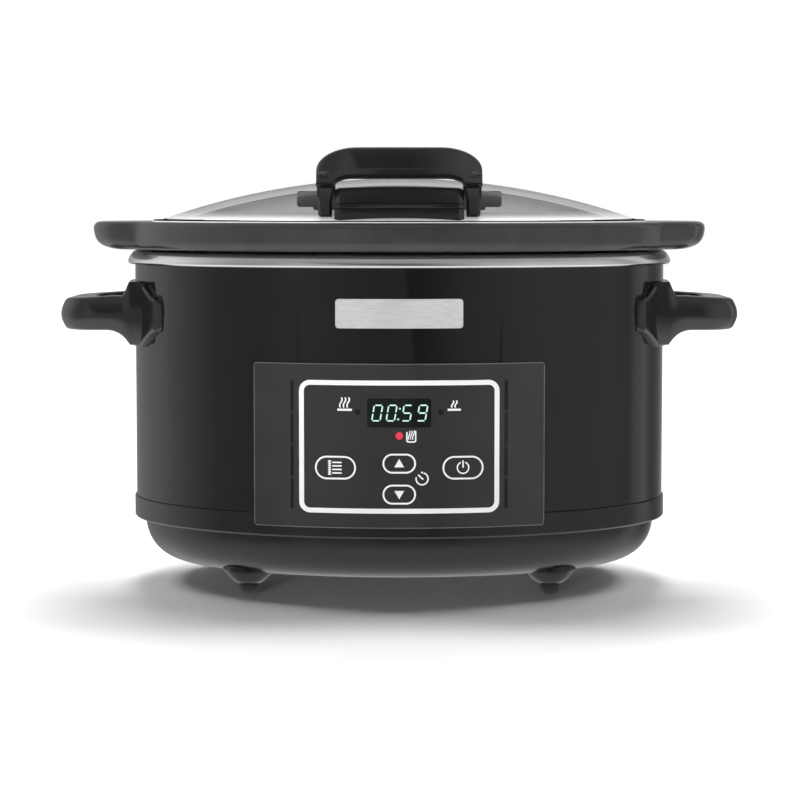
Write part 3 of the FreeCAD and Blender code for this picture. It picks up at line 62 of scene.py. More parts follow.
SHELL_BOTTOM, SHELL_TOP = span("housing_shell")
BAND_BOTTOM, BAND_TOP = span("base_band")
RING_BOTTOM, RING_TOP = span("trim_ring")
CROCK_BOTTOM, RIM_TOP = span("crock")
FLANGE_BOTTOM, DOME_TOP = span("lid_glass")
FLANGE_TOP = FLANGE_BOTTOM + 5 * MM
RIM_BOTTOM = RING_TOP + 0.8 * MM
RIM_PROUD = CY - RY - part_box("crock")[0].y
RING_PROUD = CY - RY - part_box("trim_ring")[0].y
BAND_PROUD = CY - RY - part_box("base_band")[0].y
LUG_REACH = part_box("crock")[1].x
LID_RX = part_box("lid_glass")[1].x
LID_GROW = LID_RX - RX
BEZEL_PROUD = 3.2 * MM


def front_y(x, grow):
    """Y of the front of an oval layer at x."""
    return CY - (RY + grow) * math.sqrt(max(0.0, 1 - (x / (RX + grow)) ** 2))


# --- materials ------------------------

NOISE_ROUGHNESS = 0.55


class Graph:
    """A small helper that adds nodes to a material or world and joins them."""

    def __init__(self, tree):
        self.tree = tree
        tree.nodes.clear()

    def node(self, kind, inputs=None, **settings):
        made = self.tree.nodes.new(kind)
        for name, value in settings.items():
            setattr(made, name, value)
        for name, value in (inputs or {}).items():
            self.join(value, made.inputs[name])
        return made

    def join(self, value, socket):
        if isinstance(value, bpy.types.NodeSocket):
            self.tree.links.new(value, socket)
        else:
            socket.default_value = value

    def math(self, operation, *values):
        made = self.tree.nodes.new("ShaderNodeMath")
        made.operation = operation
        for value, socket in zip(values, made.inputs):
            self.join(value, socket)
        return made.outputs[0]

    def step(self, value, low, high, to_low=0.0, to_high=1.0, smooth=True):
        made = self.node("ShaderNodeMapRange", {
            "Value": value, "From Min": low, "From Max": high, "To Min": to_low, "To Max": to_high,
        }, interpolation_type="SMOOTHSTEP" if smooth else "LINEAR")
        return made.outputs["Result"]

    def noise(self, where, scale, detail=3.0):
        made = self.node("ShaderNodeTexNoise", {
            "Vector": where, "Scale": scale, "Detail": detail, "Roughness": NOISE_ROUGHNESS,
        })
        return made.outputs["Fac"]

    def blend(self, factor, first, second):
        made = self.node("ShaderNodeMix", data_type="RGBA")
        self.join(factor, made.inputs[0])
        self.join(first, made.inputs[6])
        self.join(second, made.inputs[7])
        return made.outputs[2]


def grey(value):
    return (value, value, value, 1)


def colour(tone):
    """A tone is one grey value, or a full colour."""
    return tone if isinstance(tone, tuple) else grey(tone)


def finish_material(name, dark, light, rough, *, bump=0.0, grain=900, cloud=35, stretch=(1, 1, 1),
                    fine=0.0, **shader):
    """A surface whose colour drifts from dark to light, whose roughness drifts over the given
    span, and whose grain is bumped. Sizes are per metre."""
    material = bpy.data.materials.new(name)
    material.use_nodes = True
    graph = Graph(material.node_tree)
    place = graph.node("ShaderNodeTexCoord").outputs["Object"]
    along = graph.node("ShaderNodeMapping", {"Vector": place, "Scale": stretch}).outputs[0]
    drift = graph.noise(place, cloud, 4)
    speckle = graph.noise(along, grain, 2)
    both = graph.math("ADD", graph.math("MULTIPLY", drift, 1 - fine),
                      graph.math("MULTIPLY", speckle, fine))
    tone = graph.blend(graph.step(both, 0.3, 0.7), colour(dark), colour(light))
    sheen = graph.step(both, 0.3, 0.7, rough[0], rough[1])
    inputs = {"Base Color": tone, "Roughness": sheen}
    if bump:
        relief = graph.node("ShaderNodeBump", {"Height": speckle, "Strength": 1.0,
                                               "Distance": bump * MM})
        inputs["Normal"] = relief.outputs[0]
    shader_node = graph.node("ShaderNodeBsdfPrincipled", inputs)
    for socket, value in shader.items():
        shader_node.inputs[socket.replace("_", " ")].default_value = value
    graph.node("ShaderNodeOutputMaterial", {"Surface": shader_node.outputs[0]})
    return material


# painted glow: the pane is painted milky white and made to glow along its foot, up to a set rise
# above its flange, more so at a slant; elsewhere it is clear
PAINTED_GLOW_RISE, PAINTED_GLOW_FADE, PAINTED_GLOW_SHARE, PAINTED_GLOW_STRENGTH = 6 * MM, 1.4, 0.75, 0.5
SLANT_POWER, SLANT_GAIN = 1.5, 2.9
MIRROR_POWER, MIRROR_GAIN, MIRROR_BASE = 7.0, 0.85, 0.02
CLEAR = (0.825, 0.83, 0.83, 1)


def glass_material(name):
    """Clear pane: open where it faces the eye, a mirror at grazing angles, painted milky white with
    a painted glow along its foot.
    """
    material = bpy.data.materials.new(name)
    material.use_nodes = True
    graph = Graph(material.node_tree)
    place = graph.node("ShaderNodeTexCoord").outputs["Object"]
    height = graph.node("ShaderNodeSeparateXYZ", {"Vector": place}).outputs[2]
    facing = graph.node("ShaderNodeLayerWeight", {"Blend": 0.5}).outputs["Facing"]
    smear = graph.noise(place, 22, 3)
    # painted glow: near the flange the pane is whitened and emits light of its own
    foot = graph.step(height, FLANGE_TOP + PAINTED_GLOW_RISE, FLANGE_TOP, smooth=False)
    painted_glow = graph.math("POWER", foot, PAINTED_GLOW_FADE)
    body = graph.node("ShaderNodeBsdfPrincipled", {
        "Base Color": graph.blend(painted_glow, graph.blend(smear, grey(0.11), grey(0.12)), grey(0.8)),
        "Roughness": graph.step(smear, 0.3, 0.7, 0.02, 0.035),
        "Emission Color": grey(1), "Emission Strength": graph.math("MULTIPLY", painted_glow, PAINTED_GLOW_STRENGTH),
    })
    clear = graph.node("ShaderNodeBsdfTransparent", {"Color": CLEAR})
    grazing = graph.math("MULTIPLY", graph.math("POWER", facing, MIRROR_POWER), MIRROR_GAIN)
    mirror = graph.math("ADD", grazing, MIRROR_BASE)
    slant = graph.math("MULTIPLY", graph.math("POWER", facing, SLANT_POWER), SLANT_GAIN)
    glow_share = graph.math("MULTIPLY", painted_glow, graph.math("MINIMUM", slant, PAINTED_GLOW_SHARE))
    mixed = graph.node("ShaderNodeMixShader")
    graph.join(graph.math("MAXIMUM", mirror, glow_share), mixed.inputs[0])
    graph.join(clear.outputs[0], mixed.inputs[1])
    graph.join(body.outputs[0], mixed.inputs[2])
    graph.node("ShaderNodeOutputMaterial", {"Surface": mixed.outputs[0]})
    return material


# each slot's finish: darkest and lightest tone, roughness from and to, the rest of finish_material
FINISHES = {
    "housing_enamel": (0.004, 0.006, (0.05, 0.08), dict(bump=0.002, grain=260, cloud=14)),
    "bright_ring": (0.76, 0.84, (0.14, 0.20),
                    dict(bump=0.001, grain=900, stretch=(0.06, 0.06, 1), fine=0.4, Metallic=1.0)),
    "base_plastic": (0.006, 0.009, (0.16, 0.24), dict(bump=0.01, grain=2200)),
    "handle_plastic": (0.009, 0.012, (0.08, 0.13),
                       dict(bump=0.002, grain=1800, Specular_IOR_Level=0.8)),
    "panel_plastic": (0.026, 0.030, (0.13, 0.16), dict(bump=0.003, grain=1800)),
    "overlay_film": (0.024, 0.028, (0.13, 0.16), dict(bump=0.003, grain=2400)),
    "window_plastic": ((0.002, 0.004, 0.003, 1), (0.004, 0.007, 0.005, 1), (0.10, 0.14),
                       dict(bump=0.001, grain=900)),
    "button_plastic": (0.024, 0.028, (0.13, 0.16), dict(bump=0.003, grain=2400)),
    "lamp_dark": ((0.006, 0.004, 0.004, 1), (0.012, 0.006, 0.006, 1), (0.12, 0.2),
                  dict(bump=0.002)),
    "lamp_red": ((0.5, 0.02, 0.04, 1), (0.6, 0.03, 0.06, 1), (0.15, 0.25),
                 dict(bump=0.002, Emission_Color=(0.9, 0.06, 0.11, 1), Emission_Strength=0.3)),
    "stoneware_black": (0.030, 0.040, (0.07, 0.13), dict(bump=0.010, grain=70, cloud=25)),
    "foot_rubber": (0.012, 0.022, (0.6, 0.8), dict(bump=0.03, grain=1500)),
    "badge_metal": (0.66, 0.80, (0.30, 0.42),
                    dict(bump=0.003, grain=1500, stretch=(0.03, 1, 1), fine=0.7, Metallic=0.45)),
    "well_aluminium": (0.55, 0.66, (0.3, 0.42),
                       dict(bump=0.006, grain=1200, stretch=(0.08, 0.08, 1), fine=0.5,
                            Metallic=1.0)),
    "zinc_steel": (0.45, 0.6, (0.25, 0.4), dict(bump=0.006, grain=700, fine=0.3, Metallic=1.0)),
    "heater_wrap": ((0.30, 0.24, 0.17, 1), (0.42, 0.36, 0.27, 1), (0.6, 0.85),
                    dict(bump=0.06, grain=800, fine=0.5)),
    "board_laminate": ((0.02, 0.10, 0.04, 1), (0.03, 0.14, 0.06, 1), (0.35, 0.5),
                       dict(bump=0.01, grain=900)),
    "part_plastic": (0.015, 0.024, (0.4, 0.55), dict(bump=0.015, grain=1800)),
    "sleeve_white": (0.62, 0.72, (0.5, 0.7), dict(bump=0.02, grain=1200)),
    "seal_silicone": (0.35, 0.45, (0.45, 0.6), dict(bump=0.01, grain=900)),
}
MATERIALS = {name: finish_material(name, dark, light, rough, **more)
             for name, (dark, light, rough, more) in FINISHES.items()}
MATERIALS["lid_glass"] = glass_material("lid_glass")

PRINT_WHITE = finish_material("print_white", 0.84, 0.90, (0.30, 0.38), grain=2500)
PRINT_MINT = finish_material("print_mint", (0.50, 0.80, 0.72, 1), (0.60, 0.88, 0.80, 1), (0.3, 0.4),
                             Emission_Color=(0.55, 0.86, 0.78, 1), Emission_Strength=0.22)
# painted highlight: a pale grey line for the light along the bezel's edge
BEZEL_HIGHLIGHT = finish_material("bezel_painted_highlight", 0.12, 0.16, (0.25, 0.35), grain=1500)
# painted shade: a dark line with no reflection along the flange's top edge
GLASS_PAINTED_SHADE = finish_material("glass_painted_shade", 0.008, 0.014, (0.5, 0.6), grain=300,
                              Specular_IOR_Level=0.0)
# painted highlight: glowing white for the flange's outer edge
GLASS_HIGHLIGHT = finish_material("glass_painted_highlight", 0.86, 0.94, (0.08, 0.14), grain=300,
                             Emission_Color=(1, 1, 1, 1), Emission_Strength=0.25)

for node in NODES.values():
    slot_name = node.data.materials[0].name.split(".")[0]
    node.material_slots[0].link = "OBJECT"
    node.material_slots[0].material = MATERIALS[slot_name]


# --- meshes ---------------------------

OVAL_TURNS = 288
WELD = 1e-7


def dress(obj, body, slot, replaces=(), material=None, sharp=32):
    """Give a finished mesh its shading, its material (the slot's own unless another is given) and
    its body.
    """
    mesh = obj.data
    mesh.polygons.foreach_set("use_smooth", [True] * len(mesh.polygons))
    mesh.set_sharp_from_angle(angle=math.radians(sharp))
    mesh.materials.clear()
    mesh.materials.append(material or MATERIALS[slot])
    weighted = obj.modifiers.new("flat_faces", "WEIGHTED_NORMAL")
    weighted.keep_sharp = True
    weighted.weight = 80
    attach(obj, body)
    if replaces:
        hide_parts(*replaces)
    return obj


def mesh_object(name, points, faces):
    mesh = bpy.data.meshes.new(name)
    mesh.from_pydata([tuple(p) for p in points], [], faces)
    shape = bmesh.new()
    shape.from_mesh(mesh)
    bmesh.ops.remove_doubles(shape, verts=shape.verts, dist=WELD)
    bmesh.ops.recalc_face_normals(shape, faces=shape.faces)
    shape.to_mesh(mesh)
    shape.free()
    obj = bpy.data.objects.new(name, mesh)
    SCENE.collection.objects.link(obj)
    return obj


def arc(centre, radius, start, end, steps):
    """Points on an arc in the (grow, z) plane, angles in degrees from +grow towards +z."""
    made = []
    for n in range(steps + 1):
        a = math.radians(start + (end - start) * n / steps)
        made.append((centre[0] + radius * math.cos(a), centre[1] + radius * math.sin(a)))
    return made


def oval_loop(grow, z):
    """One closed loop of an oval layer."""
    loop = []
    for n in range(OVAL_TURNS):
        a = 2 * math.pi * n / OVAL_TURNS
        loop.append(Vector(((RX + grow) * math.cos(a), CY + (RY + grow) * math.sin(a), z)))
    return loop


def loft(name, loops, closed=False, cap_first=False, cap_last=False):
    """Join loops of equally many points into one skin."""
    turns = len(loops[0])
    points = [p for loop in loops for p in loop]
    faces = []
    count = len(loops) if closed else len(loops) - 1
    for k in range(count):
        a, b = k * turns, ((k + 1) % len(loops)) * turns
        for n in range(turns):
            m = (n + 1) % turns
            faces.append((a + n, a + m, b + m, b + n))
    if cap_first:
        faces.append(tuple(range(turns))[::-1])
    if cap_last:
        faces.append(tuple(range((len(loops) - 1) * turns, len(loops) * turns)))
    return mesh_object(name, points, faces)


# --- housing --------------------------

SHEET, HEM = 1 * MM, 0.4 * MM
CUT_HALF, CUT_EDGE, CUT_ROW = 61 * MM, 1 * MM, 2
SHELL_TURNS = 320
RING_LIP, RING_FOLD = 8.6 * MM, 2 * MM
# the ring's rolled face in mm: how far it grows, how far below the top
RING_ROLL = [(-1.2, 0.0), (-0.4, 0.10), (0.4, 0.45), (1.2, 1.1), (2.0, 1.95), (2.75, 2.95),
             (3.35, 3.95), (3.8, 4.8), (4.1, 5.5), (4.3, 6.1)]


def make_shell():
    """The painted wrapper: one sheet with its panel opening, thickened inwards."""
    low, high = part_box("panel_overlay")
    levels = [SHELL_BOTTOM, SHELL_BOTTOM + HEM, low.z + CUT_EDGE, high.z - CUT_EDGE,
              SHELL_TOP - HEM, SHELL_TOP]
    angles = sorted({2 * math.pi * n / SHELL_TURNS for n in range(SHELL_TURNS)}
                    | {2 * math.pi - math.acos(side * CUT_HALF / RX) for side in (-1, 1)})
    points = [(RX * math.cos(a), CY + RY * math.sin(a), z) for z in levels for a in angles]
    faces = []
    count = len(angles)
    for k in range(len(levels) - 1):
        for n in range(count):
            m = (n + 1) % count
            middle = (angles[n] + angles[m]) / 2 if m else angles[n]
            inside = abs(RX * math.cos(middle)) < CUT_HALF and math.sin(middle) < 0
            if k == CUT_ROW and inside:
                continue
            a, b = k * count, (k + 1) * count
            faces.append((a + n, a + m, b + m, b + n))
    obj = mesh_object("shell_skin", points, faces)
    sheet = obj.modifiers.new("sheet", "SOLIDIFY")
    sheet.thickness = SHEET
    sheet.offset = -1
    return dress(obj, "base", "housing_enamel", ["housing_shell"])


def make_ring():
    """The bright rolled ring."""
    outline = [(-RING_LIP, RING_TOP)] + [(g * MM, RING_TOP - h * MM) for g, h in RING_ROLL]
    outline += arc((RING_PROUD - RING_FOLD, RING_BOTTOM + RING_FOLD), RING_FOLD, 0, -90, 8)
    outline += [(0.1 * MM, RING_BOTTOM), (0.1 * MM, SHELL_TOP), (-RING_LIP, SHELL_TOP)]
    loops = [oval_loop(g, h) for g, h in outline]
    obj = loft("ring_roll", loops, closed=True)
    return dress(obj, "base", "bright_ring", ["trim_ring"], sharp=50)


make_shell()
make_ring()


# --- crock ----------------------------

# a lug: where it starts, its half width, how square it is, how softly it joins the oval rim
LUG_ROOT, LUG_HALF, LUG_POWER, LUG_SOFTNESS = 158 * MM, 47 * MM, 2.6, 8 * MM
LUG_SHORT, LUG_SPAN = 1.3 * MM, 0.6
RIM_TURNS, RIM_ROUND, RIM_NARROW = 400, 4 * MM, 0.3
POT_INSET, POT_ROUND, POT_WALL, POT_FLOOR = 24.3 * MM, 22 * MM, 8 * MM, 9 * MM
# the recess for the lid: its slack round the lid, its rounded lip, how far below the lid it lies
RECESS_SLACK, RECESS_LIP, RECESS_DEEP, RECESS_WIDTH = 1 * MM, 1.2 * MM, 0.3 * MM, 9 * MM
# underside and edge of the rim in mm: in from the oval, up from the rim's bottom, in from the lug
RIM_EDGE = [(6.5, 0.0, 25), (5.2, 0.0, 19), (4.3, 0.12, 15.5), (3.2, 0.5, 12.5), (2.2, 1.2, 9.6),
            (1.4, 2.2, 6.6), (0.8, 3.3, 4.6), (0.35, 4.6, 3.0), (0.1, 6.0, 1.9), (0, 7.6, 1.1),
            (0, 9.6, 0.45), (0, 11.6, 0.1), (0, 13.2, 0)]


def lug_radius(angle, reach, half):
    """Distance from the centre to a lug's edge in a direction, found by halving."""
    c, s = abs(math.cos(angle)), abs(math.sin(angle))
    low, high = 0.1, 0.3
    for _ in range(40):
        middle = (low + high) / 2
        aside = min(middle * s / half, 1.0)
        edge = LUG_ROOT + (reach - LUG_ROOT) * (1 - aside ** LUG_POWER) ** (1 / LUG_POWER)
        if middle * c > edge or middle * s > half:
            high = middle
        else:
            low = middle
    return (low + high) / 2


def rim_loop(grow, z, reach, half):
    """A rim layer: the oval, run smoothly into a lug at each end."""
    loop = []
    for n in range(RIM_TURNS):
        a = 2 * math.pi * n / RIM_TURNS
        oval_r = 1 / math.hypot(math.cos(a) / (RX + grow), math.sin(a) / (RY + grow))
        r = oval_r
        if reach and abs(math.sin(a)) < LUG_SPAN:
            gap = (lug_radius(a, reach, half) - oval_r) / LUG_SOFTNESS
            r = oval_r + LUG_SOFTNESS * (math.log1p(math.exp(gap)) if gap < 30 else gap)
        loop.append(Vector((r * math.cos(a), CY + r * math.sin(a), z)))
    return loop


def make_crock():
    """Glazed pot: body, rim with two lugs, recess for the lid and the inside."""
    loops = []

    def ring(grow, z, reach=0, half=LUG_HALF):
        loops.append(rim_loop(grow, z, reach, half))

    # outside, from the bottom up
    round_g = -POT_INSET - POT_ROUND
    for g, h in arc((round_g, CROCK_BOTTOM + POT_ROUND), POT_ROUND, -90, 0, 14):
        ring(g, h)
    ring(-POT_INSET, RIM_BOTTOM - 1.5 * MM)
    ring(-POT_INSET + 0.5 * MM, RIM_BOTTOM - 0.4 * MM)
    ring(-POT_INSET + 1.6 * MM, RIM_BOTTOM)
    # the softened join adds to the lug's reach, so the reach is worked back from the tip
    rim_rx = RX + RIM_PROUD
    past = LUG_REACH - LUG_SHORT - rim_rx
    reach = rim_rx + LUG_SOFTNESS * math.log(math.expm1(past / LUG_SOFTNESS))
    for g, h, back in RIM_EDGE:
        ring(RIM_PROUD - g * MM, RIM_BOTTOM + h * MM, reach - back * MM,
             LUG_HALF - RIM_NARROW * back * MM)
    for drop, z in arc((RIM_ROUND, RIM_TOP - RIM_ROUND), RIM_ROUND, 180, 90, 8)[1:]:
        ring(RIM_PROUD - drop, z, reach - drop, LUG_HALF - drop)
    # top face and the way down inside
    lid_edge, lip = LID_GROW + RECESS_SLACK, RECESS_LIP
    recess = FLANGE_BOTTOM - RECESS_DEEP
    ring(RIM_PROUD - 6 * MM, RIM_TOP)
    for g, h in arc((lid_edge + lip, RIM_TOP - lip), lip, 90, 180, 4):
        ring(g, h)
    ring(lid_edge, recess + 0.4 * MM)
    ring(lid_edge - 0.4 * MM, recess)
    ring(LID_GROW - RECESS_WIDTH, recess)
    ring(LID_GROW - RECESS_WIDTH - 1 * MM, recess - 0.4 * MM)
    ring(-POT_INSET - POT_WALL, RIM_BOTTOM - 3 * MM)
    inner = POT_ROUND - POT_WALL
    for g, h in arc((round_g, CROCK_BOTTOM + POT_FLOOR + inner), inner, 0, -90, 10):
        ring(g, h)
    obj = loft("crock_pot", loops, cap_first=True, cap_last=True)
    return dress(obj, "crock", "stoneware_black", ["crock"], sharp=60)


make_crock()


# --- lid glass ------------------------

FLANGE_WIDTH, FLANGE_ROUND, PANE_WALL = 6.3 * MM, 1.6 * MM, 4.5 * MM
FLANGE_STEP = 0.8 * MM
DOME_RINGS = 40
# faces this far out take the painted dark shade line or the painted white highlight, told apart by
# how high they lie
FACE_HIGHLIGHT, FACE_PAINTED_SHADE = 1, 2
PAINTED_SHADE_FROM, HIGHLIGHT_FROM = 0.95, 0.99


def make_glass():
    """Domed glass with a rolled flange, as one closed skin."""
    ra, rb = RX + LID_GROW, RY + LID_GROW
    a, b = ra - FLANGE_WIDTH, rb - FLANGE_WIDTH
    rise = DOME_TOP - FLANGE_TOP
    curve = (a * a + rise * rise) / (2 * rise)
    loops = []

    def dome(share, shrink):
        r = curve - shrink
        q = min(share * a, r * 0.999)
        z = DOME_TOP - curve + math.sqrt(r * r - q * q)
        loops.append([Vector((a * share * math.cos(w), CY + b * share * math.sin(w), z))
                      for w in around])

    around = [2 * math.pi * n / OVAL_TURNS for n in range(OVAL_TURNS)]
    shares = [math.sin(math.pi / 2 * k / DOME_RINGS) for k in range(1, DOME_RINGS + 1)]
    for share in shares:
        dome(share, 0)
    loops.append(oval_loop(LID_GROW - FLANGE_WIDTH + 0.8 * MM, FLANGE_TOP))
    inner = LID_GROW - FLANGE_ROUND
    edge = arc((inner, FLANGE_TOP - FLANGE_ROUND), FLANGE_ROUND, 90, 0, 8)
    edge += arc((inner, FLANGE_BOTTOM + FLANGE_ROUND), FLANGE_ROUND, 0, -90, 8)
    loops += [oval_loop(g, z) for g, z in edge]
    shell = curve - PANE_WALL
    reach = math.sqrt(max(0, shell ** 2 - (FLANGE_BOTTOM - DOME_TOP + curve) ** 2)) / a
    for share in shares[::-1]:
        dome(reach * share, PANE_WALL)
    obj = loft("lid_dome", loops, cap_first=True, cap_last=True)
    dress(obj, "lid", "lid_glass", ["lid_glass"], sharp=40)
    obj.data.materials.append(GLASS_HIGHLIGHT)
    obj.data.materials.append(GLASS_PAINTED_SHADE)
    # the flange's top edge gets the painted shade line, its outer edge below that the painted
    # highlight
    for face in obj.data.polygons:
        middle = face.center
        across = math.hypot(middle.x / ra, (middle.y - CY) / rb)
        if across > PAINTED_SHADE_FROM and middle.z > FLANGE_TOP - FLANGE_STEP:
            face.material_index = FACE_PAINTED_SHADE
        elif across > HIGHLIGHT_FROM and middle.z > FLANGE_BOTTOM + 0.5 * MM:
            face.material_index = FACE_HIGHLIGHT
    return obj


make_glass()


# --- base -----------------------------

PAN_LOW, PAN_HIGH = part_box("base_pan")
PAN_GROW = PAN_HIGH.x - RX
BOWL_BOTTOM = PAN_LOW.z + 6.8 * MM
FOOT_X, FOOT_Y = 92.5 * MM, 75 * MM
FOOT_RADIUS, TIP_RADIUS = 16.5 * MM, 6 * MM
FOOT_SKEW = 6 * MM
PAN_FULLNESS, PAN_STEPS = 2.15, 24
FOOT_RISE, FOOT_POWER, FOOT_STEPS, FOOT_TURNS = 8.3 * MM, 1.6, 8, 48
TIP_ROUND, TIP_INNER = 0.3 * MM, 0.4
BAND_BEVEL, BAND_DEPTH = 1.1 * MM, 5.8 * MM


def make_pan():
    """The bowl under the cooker."""
    depth = BAND_BOTTOM - BOWL_BOTTOM
    loops = [oval_loop(PAN_GROW, BAND_BOTTOM + 0.3 * MM)]
    for n in range(PAN_STEPS + 1):
        a = math.radians(90 * n / PAN_STEPS)
        out = math.cos(a) ** (2 / PAN_FULLNESS)
        down = math.sin(a) ** (2 / PAN_FULLNESS)
        loops.append(oval_loop(PAN_GROW - depth * (1 - out), BAND_BOTTOM - depth * down))
    obj = loft("pan_bowl", loops, cap_first=True, cap_last=True)
    return dress(obj, "base", "base_plastic", ["base_pan"], sharp=50)


def make_foot(sx, sy):
    """A moulded foot that flares into the bowl."""
    tip = PAN_LOW.z
    profile = [(TIP_RADIUS * TIP_INNER, tip), (TIP_RADIUS - TIP_ROUND, tip),
               (TIP_RADIUS, tip + TIP_ROUND)]
    for n in range(1, FOOT_STEPS + 1):
        s = n / FOOT_STEPS
        profile.append((TIP_RADIUS + (FOOT_RADIUS - TIP_RADIUS) * s,
                        tip + TIP_ROUND + FOOT_RISE * s ** FOOT_POWER))
    profile += [(FOOT_RADIUS - 0.6 * MM, tip + FOOT_RISE + 2 * MM),
                (FOOT_RADIUS - 3 * MM, tip + FOOT_RISE + 9 * MM)]
    loops = []
    for r, h in profile:
        middle_y = CY + sy * (FOOT_Y - FOOT_SKEW * min(1.0, (h - tip) / FOOT_RISE))
        loops.append([Vector((sx * FOOT_X + r * math.cos(2 * math.pi * k / FOOT_TURNS),
                              middle_y + r * math.sin(2 * math.pi * k / FOOT_TURNS), h))
                      for k in range(FOOT_TURNS)])
    name = f"foot_{'right' if sx > 0 else 'left'}_{'back' if sy > 0 else 'front'}"
    obj = loft(name, loops, cap_first=True, cap_last=True)
    return dress(obj, "base", "base_plastic", ["base_pan"], sharp=40)


def make_band():
    """The seam band between housing and bowl, its lower edge bevelled."""
    g, bevel = BAND_PROUD, BAND_BEVEL
    outline = [(-BAND_DEPTH, BAND_BOTTOM), (g - bevel, BAND_BOTTOM),
               (g - 0.5 * bevel, BAND_BOTTOM + 0.35 * bevel), (g, BAND_BOTTOM + bevel),
               (g, BAND_TOP - 0.5 * MM), (g - 0.4 * MM, BAND_TOP), (0.1 * MM, BAND_TOP),
               (-BAND_DEPTH, BAND_TOP)]
    loops = [oval_loop(a, z) for a, z in outline]
    obj = loft("base_band_ring", loops, closed=True)
    return dress(obj, "base", "base_plastic", ["base_band"], sharp=25)


make_pan()
make_band()
for sx in (-1, 1):
    for sy in (-1, 1):
        make_foot(sx, sy)


# --- side handles ---------------------


def sweep(sections):
    """Points and faces of a closed section carried along stations, capped at both ends."""
    turns = len(sections[0])
    points = [p for section in sections for p in section]
    last = len(points) - turns
    faces = []
    for a in range(0, last, turns):
        b = a + turns
        for n in range(turns):
            m = (n + 1) % turns
            faces.append((a + n, a + m, b + m, b + n))
    faces.append(tuple(range(turns))[::-1])
    faces.append(tuple(range(last, last + turns)))
    return points, faces


def merged(name, parts):
    """Several closed skins in one mesh."""
    points, faces = [], []
    for more_points, more_faces in parts:
        start = len(points)
        points += more_points
        faces += [tuple(start + n for n in face) for face in more_faces]
    return mesh_object(name, points, faces)


# a handle's bar in mm: its middle line, its section (out, half height) and where its arm is drawn
ARM_Y, LOOP_CORNER, BAR_WIDTH = 41 * MM, 15 * MM, 18 * MM
BAR_HALF, BAR_SQUASH, BAR_DROP = 10.7, 0.9, 0.2
BAR_FACE = [(9.0, 0), (8.85, 2), (8.4, 4), (7.6, 6.2), (6.7, 8.2), (5.8, 9.6), (4.6, 10.4),
            (3.0, BAR_HALF), (-6.0, BAR_HALF), (-7.8, 10.2), (-8.8, 8.8), (-9.0, 7.0)]
ARM_XS = [150, 154, 157, 158.5, 162, 166, 167.7, 168.5, 169.5, 170.6, 171.7, 173, 175, 178, 181,
          184, 187]
HANDLE_MIDDLE = 20.25 * MM
# each flare: how far it spreads, where it starts, over what run, how sharply it curves
FLARE_UP = (10.2 * MM, 172.6 * MM, 4.9 * MM, 1.4)
FLARE_DOWN = (9.2 * MM, 183 * MM, 15.3 * MM, 2.6)
ARM_RISE, ARM_RISE_RUN = 2.1 * MM, 33 * MM
# where the flares fade out again inside the pad
FADE_START, FADE_RUN = 151 * MM, 7 * MM
PAD_WING, PAD_FLAT, PAD_GROW, PAD_EDGE = 64 * MM, 44 * MM, 4.2 * MM, 1.3 * MM
PAD_SINK = 0.2 * MM


def clamp(share):
    return min(1, max(0, share))


def flare(shape, x):
    """How far an arm has spread at x on its way to the pad."""
    size, start, run, power = shape
    return size * clamp((start - x) / run) ** power


def loop_stations(reach):
    """The bar's line in plan from one arm to the other: x, y and the outward direction."""
    line_x = reach - BAR_WIDTH / 2
    turn_x = line_x - LOOP_CORNER
    stations = [(x * MM, -ARM_Y, 0, -1) for x in ARM_XS if x * MM < turn_x]
    for n in range(13):
        a = math.radians(-90 + 90 * n / 12)
        ox, oy = math.cos(a), math.sin(a)
        stations.append((turn_x + LOOP_CORNER * ox, LOOP_CORNER * (1 + oy) - ARM_Y, ox, oy))
    stations += [(line_x, (LOOP_CORNER - ARM_Y) * (1 - n / 7), 1, 0) for n in range(1, 7)]
    return stations + [(x, -y, ox, -oy) for x, y, ox, oy in stations[::-1]]


def pad_stops(half_low, half_high):
    """The pad in plan: y, how far it goes down and up, and how far it stands proud."""
    ends = [(PAD_WING, 7.0, 2.2), (PAD_WING - 1.2 * MM, 9.6, 4.2), (PAD_WING - 6 * MM, 11.6, 4.2)]
    stops = [(-y, h * MM, h * MM, g * MM) for y, h, g in ends]
    stops += [(-PAD_FLAT + PAD_FLAT * n / 6, half_low, half_high, PAD_GROW) for n in range(7)]
    return stops + [(-y, lo, hi, g) for y, lo, hi, g in stops[-2::-1]]


